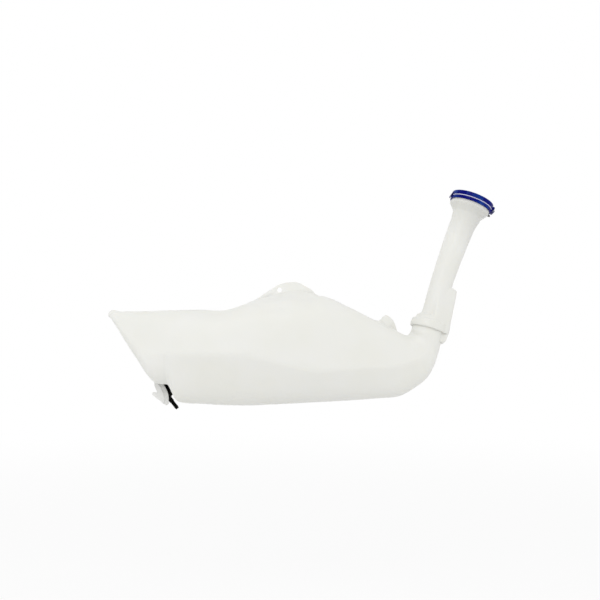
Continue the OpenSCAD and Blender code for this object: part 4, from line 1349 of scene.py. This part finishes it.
@dataclass
class WasherPump:
    """Outside of the washer pump: cup with barb, dome, motor seat and cover, plug socket and grommet."""

    finish: bpy.types.Material
    rubber: bpy.types.Material
    at: tuple[float, float, float] = (-157.0, 20.0, -153.5)
    # Cup, its rim at the seam, and the dome that narrows to the stem.
    cup_r: float = 9.0
    rim_r: float = 10.6
    seam: float = 11.6
    dome_h: float = 13.0
    stem_r: float = 4.5
    # Motor's seat and cover.
    seat_r: float = 14.0
    seat_low: float = 36.0
    seat_high: float = 46.0
    housing_r: float = 13.0
    housing_low: float = 41.0
    housing_high: float = 85.0
    # Impeller's chamber, inlet spigot and hose barb, whose dip is in degrees.
    chamber_r: float = 7.0
    chamber_low: float = 5.0
    inlet_h: float = 31.5
    inlet_r: float = 4.8
    inlet_end: float = 33.5
    inlet_bore_r: float = 3.0
    barb_r: float = 2.6
    barb_bore_r: float = 1.7
    barb_root: float = 8.0
    barb_len: float = 20.0
    barb_dip: float = 52.0
    # Plug's socket, outside and inside, as half its sides.
    socket_half: tuple[float, float] = (6.5, 4.5)
    socket_in_half: tuple[float, float] = (5.1, 3.1)
    socket_h: float = 17.0
    # Grommet, from its place along the spigot.
    grommet_at: float = 18.0
    grommet_in_r: float = 4.85
    grommet_r: float = 7.25
    grommet_len: float = 15.5
    grommet_lip_r: float = 9.5
    grommet_lip_t: float = 3.6
    sides: int = 96

    def frame(self) -> Frame:
        """Frame of the pump's foot, with Z along its axis."""
        return Frame(np.eye(3), np.array(self.at))

    def cup(self) -> Shape:
        """The cup round the impeller's chamber, with its barb.

        Returns:
            The cup, in the pump's frame.
        """
        c, rim, seam = self.cup_r, self.rim_r, self.seam
        inner, ledge, low = self.chamber_r, self.chamber_r + 0.8, self.chamber_low
        profile = rounded([
            (0, 0, 0), (c - 5.8, 0, 0.8), (c - 2.8, 2.8, 1), (c - 0.4, 5, 0.8), (c, 5.8, 0.5),
            (c, seam - 2.8, 0.4), (rim - 0.4, seam - 1.7, 0.5), (rim, seam - 1, 0.4), (rim, seam, 0.3),
            (ledge, seam, 0.1), (ledge, seam - 1.2, 0.1), (inner, seam - 1.2, 0.1), (inner, low, 0.4),
            (0, low, 0)])
        bore, r, root, end = self.barb_bore_r, self.barb_r, self.barb_root, self.barb_len
        barb = rounded([
            (bore, 1, 0), (r + 0.6, 1, 0), (r + 0.6, root, 0.6), (r, root, 0.4), (r, end - 4.5, 0.5),
            (r + 0.25, end - 3.2, 0.3), (r - 0.5, end, 0.5), (bore, end, 0.3)])
        seat = Frame(turn_y(90.0 + self.barb_dip), np.array([inner - 2.0, 0.0, seam - 4.3]))
        return lathe(spread(profile, 1.0), self.sides).joined(seat.place(lathe(spread(barb, 1.0), 48)))

    def cover(self) -> Shape:
        """The dome, its stem with the inlet spigot, and the motor's seat.

        Returns:
            The cover, in the pump's frame.
        """
        rim, stem, seam, seat = self.rim_r, self.stem_r, self.seam, self.seat_r
        low, high, over = self.seat_low, self.seat_high, rim - stem
        nest, floor = self.housing_r + 0.05, self.housing_low
        profile = rounded([
            (0, seam, 0), (rim, seam, 0.2), (rim, seam + 0.5, 0.5),
            (stem + 0.74 * over, seam + 0.29 * self.dome_h, 3),
            (stem + 0.3 * over, seam + 0.71 * self.dome_h, 3), (stem, seam + self.dome_h, 2),
            (stem, low, 1.5), (seat - 2, low, 1.5), (seat, low + 2, 1), (seat, high, 0.6),
            (nest, high, 0.3), (nest, floor, 0.1), (0, floor, 0)])
        bore, r, end = self.inlet_bore_r, self.inlet_r, self.inlet_end
        spigot = rounded([(bore, 0, 0), (r, 0, 0), (r, end, 0.6), (bore, end, 0.4)])
        inlet = Frame(turn_y(90.0), np.array([0.0, 0.0, self.inlet_h]))
        return lathe(spread(profile, 1.0), self.sides).joined(inlet.place(lathe(spread(spigot, 2.0), 64)))

    def motor(self) -> Shape:
        """The motor's cover, with three shallow grip grooves round its upper end.

        Returns:
            The cover, in the pump's frame.
        """
        r, low, high = self.housing_r, self.housing_low, self.housing_high
        groove = ((0, 0), (0.6, 0.4), (1.2, 0.4), (1.8, 0))
        outside = [(r - dip, high - 12 + 3 * k + up, 0.2) for k in range(3) for up, dip in groove]
        profile = rounded([
            (r - 1.2, low, 0.1), (r, low, 0.3), *outside, (r, high, 0.3), (r - 1.2, high, 0.1)])
        return lathe(spread(profile, 1.5), self.sides)

    def end_cap(self) -> Shape:
        """The end cap with the plug's socket, a rounded square tube.

        The socket is a stack of the same outline, drawn in to its inner size at the top and closed to its
        middle at both ends.

        Returns:
            The end cap, in the pump's frame.
        """
        r, high = self.housing_r, self.housing_high
        disc = rounded([
            (0, high - 3, 0), (r - 3.2, high - 3, 0.2), (r - 1.3, high - 3, 0.2), (r - 1.3, high, 0.1),
            (r, high, 0.2), (r, high + 3, 1.2), (0, high + 3, 0)])
        x, y = self.socket_half
        outer = spread(rounded([(-x, -y, 1.2), (x, -y, 1.2), (x, y, 1.2), (-x, y, 1.2)]), 1.0)
        shrink = np.array(self.socket_in_half) / np.array(self.socket_half)
        top = self.socket_h
        levels = [(1.0, 2.5), (1.0, top - 0.6), (0.97, top), (0.0, top), (0.0, 3.0)]
        loops = [outer * 0.0, *(outer * (shrink + (1 - shrink) * wide) for wide, _ in levels), outer * 0.0]
        heights = [levels[0][1], *(z for _, z in levels), levels[-1][1]]
        socket = Shape.of_grid(np.stack([
            np.column_stack([loop, np.full(len(outer), high + z)]) for loop, z in zip(loops, heights)]))
        return lathe(spread(disc, 1.0), self.sides).joined(socket)

    def grommet(self) -> Shape:
        """The rubber grommet between spigot and boss, with a round outer lip.

        Returns:
            The grommet, in the pump's frame.
        """
        inner, outer, lip = self.grommet_in_r, self.grommet_r, self.grommet_lip_r
        face, end = -self.grommet_lip_t, self.grommet_len
        profile = rounded([
            (inner, face, 0.4), (lip, face, 1.4), (lip, 0, 0.6), (outer, 0, 0.2), (outer, end, 0.8),
            (inner, end, 0.4)])
        seat = Frame(turn_y(90.0), np.array([self.grommet_at, 0.0, self.inlet_h]))
        return seat.place(lathe(spread(profile, 1.0), 72))

    def build(self) -> None:
        """Make the pump's outer pieces."""
        place = self.frame().place
        for name, shape, node in (
                ("pump_cup", self.cup(), "pump_head"), ("pump_dome", self.cover(), "pump_cover"),
                ("motor_sleeve", self.motor(), "motor_housing"),
                ("motor_cap", self.end_cap(), "motor_end_cap")):
            make_piece(name, place(shape), self.finish, Body.RESERVOIR, (node,))
        make_piece("grommet_ring", place(self.grommet()), self.rubber, Body.RESERVOIR,
                   ("pump_grommet",))


@dataclass
class PumpRetainer:
    """The pale shield in front of the pump: plate, raised pad and the band round the pump's cup."""

    finish: bpy.types.Material
    at: tuple[float, float, float] = (-157.0, 20.0, -153.5)
    # Plate, the pad sunk into its front, and the strip on its right that slopes back.
    plate_back: float = 10.9
    plate_t: float = 2.6
    pad_t: float = 1.6
    pad_sink: float = 0.6
    strip_w: float = 5.5
    strip_slope: float = 0.38
    top: float = 29.0
    # Band round the cup, and the angles that it runs between.
    band_in_r: float = 9.05
    band_r: float = 11.25
    band_low: float = 5.0
    band_high: float = 8.6
    band_turn: tuple[float, float] = (80.0, 300.0)

    def shield(self) -> Shape:
        """The plate, whose right strip slopes back, the pad on its left part and the band.

        Returns:
            The retainer, in the pump's frame.
        """
        left = [
            (-12.5, self.top, 0.5), (-13.2, 25.6, 2), (-11.3, 20.5, 3), (-9.4, 17, 2), (-9.4, 14.6, 0.5),
            (-14.6, 15.1, 1.2), (-16.2, 13.1, 1), (-15.2, 11.2, 1), (-9, 6.2, 2), (-5.5, 3.9, 2),
            (-1.2, -0.5, 1.5)]
        foot = [(1.5, -1.7, 1), (3.7, -3.4, 0.8)]
        right = [
            (6.4, -0.9, 0.8), (6.1, 10.1, 3), (5, 14.3, 3), (3.6, 17.4, 3), (2, 21.4, 3), (-0.2, 24.2, 2),
            (-3.2, self.top, 0.5)]
        outline = rounded(left + foot + right)
        base = plate(spread(outline, 0.7), np.array([-4.0, 12.8]), self.plate_t, 0.5)
        edge_x, edge_z, _ = np.array(right).T
        border = np.interp(base.points[:, 2], edge_z, edge_x) - self.strip_w
        base.points[:, 1] += self.strip_slope * np.maximum(base.points[:, 0] - border, 0.0)
        pad_right = [(x - self.strip_w, z, r) for x, z, r in right]
        pad_outline = rounded(left + pad_right)
        pad = plate(spread(pad_outline, 0.7), np.array([-7.0, 12.8]), self.pad_t + self.pad_sink, 0.6)
        inner, outer, low, high = self.band_in_r, self.band_r, self.band_low, self.band_high
        profile = rounded([(inner, low, 0.3), (outer, low, 0.5), (outer, high, 0.5), (inner, high, 0.3)])
        band = lathe(spread(profile, 0.8), 60, *self.band_turn)
        front = -self.plate_back - self.plate_t
        base_at = np.array([0.0, front + self.plate_t / 2, 0.0])
        pad_at = np.array([0.0, front - self.pad_t / 2 + self.pad_sink / 2, 0.0])
        return base.moved(np.eye(3), base_at).joined(pad.moved(np.eye(3), pad_at), band)

    def build(self) -> None:
        """Make the retainer as one piece."""
        place = Frame(np.eye(3), np.array(self.at)).place
        make_piece("pump_shield", place(self.shield()), self.finish, Body.RESERVOIR,
                   ("pump_retainer",))


@dataclass
class Studio:
    """Camera, soft lights, white surroundings and a pale floor with a faint shadow."""

    # Camera: the point that it faces, its distance and the width of its view there.
    aim: tuple[float, float, float] = (27.7, 0.0, -13.5)
    distance: float = 1500.0
    view_mm: float = 810.0
    sensor_mm: float = 36.0
    far_mm: float = 20000.0
    # Floor: its drop below the aim, paint, share of white near the middle, and where that grows to full.
    floor_drop: float = 420.0
    floor_r: float = 3000.0
    floor_sides: int = 96
    floor_paint: str = "EFEFEF"
    floor_glow: float = 0.84
    floor_fade: tuple[float, float] = (700.0, 2200.0)
    # Strength of the surroundings as light, and each lamp's name, place, side and watts.
    ambient: float = 0.825
    lamps: tuple[tuple[str, tuple[float, float, float], float, float], ...] = (
        ("key", (-250.0, -1400.0, 1150.0), 1200.0, 7.4),
        ("fill", (1100.0, -500.0, -150.0), 900.0, 1.2),
        ("side", (-1250.0, -300.0, -250.0), 900.0, 1.9))

    def camera(self) -> None:
        """Set a camera square to the parting plane, whose frame is view_mm wide there."""
        data = bpy.data.cameras.new("camera")
        data.sensor_width = self.sensor_mm
        data.lens = self.sensor_mm * self.distance / self.view_mm
        data.clip_end = self.far_mm * MM
        camera = bpy.data.objects.new("camera", data)
        camera.location = (self.aim[0] * MM, -self.distance * MM, self.aim[2] * MM)
        camera.rotation_euler = (math.radians(90.0), 0.0, 0.0)
        bpy.context.scene.collection.objects.link(camera)
        bpy.context.scene.camera = camera

    @staticmethod
    def shown(tree: bpy.types.NodeTree) -> bpy.types.NodeSocket:
        """Tell rays that show a surface from rays that only light it.

        Args:
            tree: Node tree that takes the nodes.

        Returns:
            A socket that is 1 for camera, glossy and transmission rays and otherwise 0.
        """
        path = add_node(tree, "ShaderNodeLightPath")
        seen = add_node(tree, "ShaderNodeMath", {
            0: path.outputs["Is Camera Ray"], 1: path.outputs["Is Glossy Ray"]}, operation="MAXIMUM")
        whole = add_node(tree, "ShaderNodeMath", {
            0: seen.outputs[0], 1: path.outputs["Is Transmission Ray"]}, operation="MAXIMUM")
        return whole.outputs[0]

    def world(self) -> None:
        """White surroundings, at full strength where they are seen and softer as light."""
        world = bpy.data.worlds.new("surroundings")
        world.use_nodes = True
        tree = world.node_tree
        tree.nodes.clear()
        strength = add_node(tree, "ShaderNodeMapRange", {
            "Value": self.shown(tree), "To Min": self.ambient, "To Max": 1.0})
        light = add_node(tree, "ShaderNodeBackground", {
            "Color": WHITE, "Strength": strength.outputs["Result"]})
        add_node(tree, "ShaderNodeOutputWorld", {"Surface": light.outputs["Background"]})
        bpy.context.scene.world = world

    def lamp(self, name: str, place: tuple[float, float, float], size: float, watts: float) -> None:
        """Hang a square soft lamp that looks at the object's middle.

        Args:
            name: Name of the lamp.
            place: Its place in millimetres.
            size: Its side in millimetres.
            watts: Its power.
        """
        data = bpy.data.lights.new(name, "AREA")
        data.size = size * MM
        data.energy = watts
        lamp = bpy.data.objects.new(name, data)
        lamp.location = Vector(place) * MM
        aim = Vector(self.aim) * MM
        lamp.rotation_euler = (aim - lamp.location).to_track_quat("-Z", "Y").to_euler()
        bpy.context.scene.collection.objects.link(lamp)

    def floor(self) -> None:
        """A wide pale disc below the object, near white to the camera, that keeps the shadow."""
        wheel = np.radians(np.linspace(0.0, 360.0, self.floor_sides, endpoint=False))
        radius = np.array([[self.floor_r], [0.0]])
        level = np.full((2, self.floor_sides), self.aim[2] - self.floor_drop)
        shape = Shape.of_grid(np.stack([radius * np.cos(wheel), radius * np.sin(wheel), level], axis=-1))
        mesh = bpy.data.meshes.new("floor")
        mesh.from_pydata((shape.points * MM).tolist(), [], shape.quads.tolist())
        material, tree = new_material("matt_floor_paint")
        paint = add_node(tree, "ShaderNodeBsdfDiffuse", {"Color": linear(self.floor_paint)})
        glow = add_node(tree, "ShaderNodeEmission", {"Color": WHITE, "Strength": 1.0})
        place = add_node(tree, "ShaderNodeTexCoord")
        away = add_node(tree, "ShaderNodeVectorMath", {0: place.outputs["Object"]}, operation="LENGTH")
        start, stop = self.floor_fade
        fade = add_node(tree, "ShaderNodeMapRange", {
            "Value": away.outputs["Value"], "From Min": start * MM, "From Max": stop * MM,
            "To Min": self.floor_glow, "To Max": 1.0}, interpolation_type="SMOOTHSTEP")
        lift = add_node(tree, "ShaderNodeMath", {
            0: self.shown(tree), 1: fade.outputs["Result"]}, operation="MULTIPLY")
        whole = add_node(tree, "ShaderNodeMixShader", {
            0: lift.outputs[0], 1: paint.outputs["BSDF"], 2: glow.outputs["Emission"]})
        add_node(tree, "ShaderNodeOutputMaterial", {"Surface": whole.outputs["Shader"]})
        mesh.materials.append(material)
        floor = bpy.data.objects.new("floor", mesh)
        bpy.context.scene.collection.objects.link(floor)
        floor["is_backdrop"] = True

    def build(self) -> None:
        """Set up camera, lights and floor."""
        bpy.context.scene.view_settings.view_transform = "Standard"
        self.camera()
        self.world()
        for name, place, size, watts in self.lamps:
            self.lamp(name, place, size, watts)
        self.floor()


def dress_inner_pieces(frame: dict, finishes: dict[str, bpy.types.Material]) -> None:
    """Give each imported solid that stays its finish.

    Args:
        frame: The loaded frame.
        finishes: Node name to its material.
    """
    for node, material in finishes.items():
        mesh = frame["nodes"][node].data
        mesh.materials.clear()
        mesh.materials.append(material)
        LOG.info("%s: %s", node, material.name)


def corners(box: tuple) -> list[list[float]]:
    """Two corners of a box as plain lists of metres."""
    return [[float(v) for v in corner] for corner in box]


def main() -> None:
    """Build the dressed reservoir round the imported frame."""
    logging.basicConfig(level=logging.INFO, format="%(name)s %(message)s")
    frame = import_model()
    cad_box = corners(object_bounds())

    # Natural polyethylene is a milky satin white. The neck is a shade greyer, with painted shade under the
    # cap that is darker to the right.
    polyethylene = BlownPolyethylene().material()
    neck_plastic = BlownPolyethylene(name="blown_polyethylene_neck", thick="E8E8E4", thin="E6E6E0",
                                     painted_shade="EDEDED").material()
    # Dyed polypropylene is a deep satin blue with little shine. Its paler blue clouds are painted highlights
    # as well as marks where the melt ran.
    cap_plastic = MouldedPlastic("polypropylene_blue", "00036C", "1A4494", 0.28, flow_and_sheen_mm=12.0,
                                 flow_and_sheen_share=(0.45, 0.72), shine=0.06).material()
    # Glass-filled nylon is near black with hardly a highlight.
    nylon = MouldedPlastic("glass_filled_nylon", "020202", "050505", 0.5, shine=0.06).material()
    # Plain nylon in two greys has soft, even highlights.
    grey_nylon = MouldedPlastic("nylon_grey", "4A4A4A", "555555", 0.5).material()
    pale_nylon = MouldedPlastic("nylon_pale_grey", "7C8088", "868A92", 0.45).material()
    # Natural polypropylene is pale and smooth, and acetal a slicker white.
    shield = MouldedPlastic("polypropylene_pale", "EAEAE8", "EEEEEC", 0.45).material()
    acetal = MouldedPlastic("acetal_white", "E6E6E2", "DEDEDA", 0.35).material()
    # Rubber is dark and matt with a rougher skin. Silicone is pale, and its bluish tinge and the pale line it
    # shows between lid and ring are partly a painted highlight.
    rubber = MouldedPlastic("moulded_rubber", "141414", "1C1C1C", 0.7, grain_depth=0.15).material()
    # Painted highlight in part: the pale bluish tint stands for the bright line between the cap's lid and
    # ring.
    silicone = MouldedPlastic("silicone_pale", "D2D2EA", "DADAEE", 0.5).material()
    # Phenolic board and pressed carbon are matt, one brown and one black.
    phenolic = MouldedPlastic("phenolic_brown", "5A3A22", "6A4426", 0.55).material()
    carbon = MouldedPlastic("pressed_carbon", "1E1E1E", "2A2A2A", 0.6).material()
    # The motor's metals run from bright drawn steel and turned copper to dull sintered ferrite.
    steel = WorkedMetal("drawn_steel", "C8C8C8", "A0A0A0", 0.3).material()
    ferrite = WorkedMetal("sintered_ferrite", "4A4A4E", "38383C", 0.6).material()
    iron = WorkedMetal("laminated_iron", "8A8682", "6E6A66", 0.45).material()
    copper = WorkedMetal("copper_alloy", "C88A5A", "A86E44", 0.35).material()
    bronze = WorkedMetal("sintered_bronze", "B08A58", "8E6C42", 0.5).material()

    neck = FillerNeck(neck_plastic, grey_nylon)
    Studio().build()
    Tank(polyethylene).build()
    neck.build()
    FillerCap(neck.mouth_frame(), cap_plastic, silicone, pale_nylon).build()
    WasherPump(nylon, rubber).build()
    PumpRetainer(shield).build()
    dress_inner_pieces(frame, {
        "neck_seal": rubber, "shaft_seal": rubber, "volute_plate": nylon, "seal_plate": nylon,
        "pump_impeller": acetal, "inlet_strainer": acetal, "lower_bush": bronze, "upper_bush": bronze,
        "motor_can": steel, "motor_shaft": steel, "motor_magnets": ferrite, "motor_armature": iron,
        "motor_commutator": copper, "connector_terminals": copper, "brush_holder": phenolic,
        "motor_brushes": carbon})

    {"cad": cad_box, "visual": corners(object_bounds())}


if __name__ == "__main__":
    main()
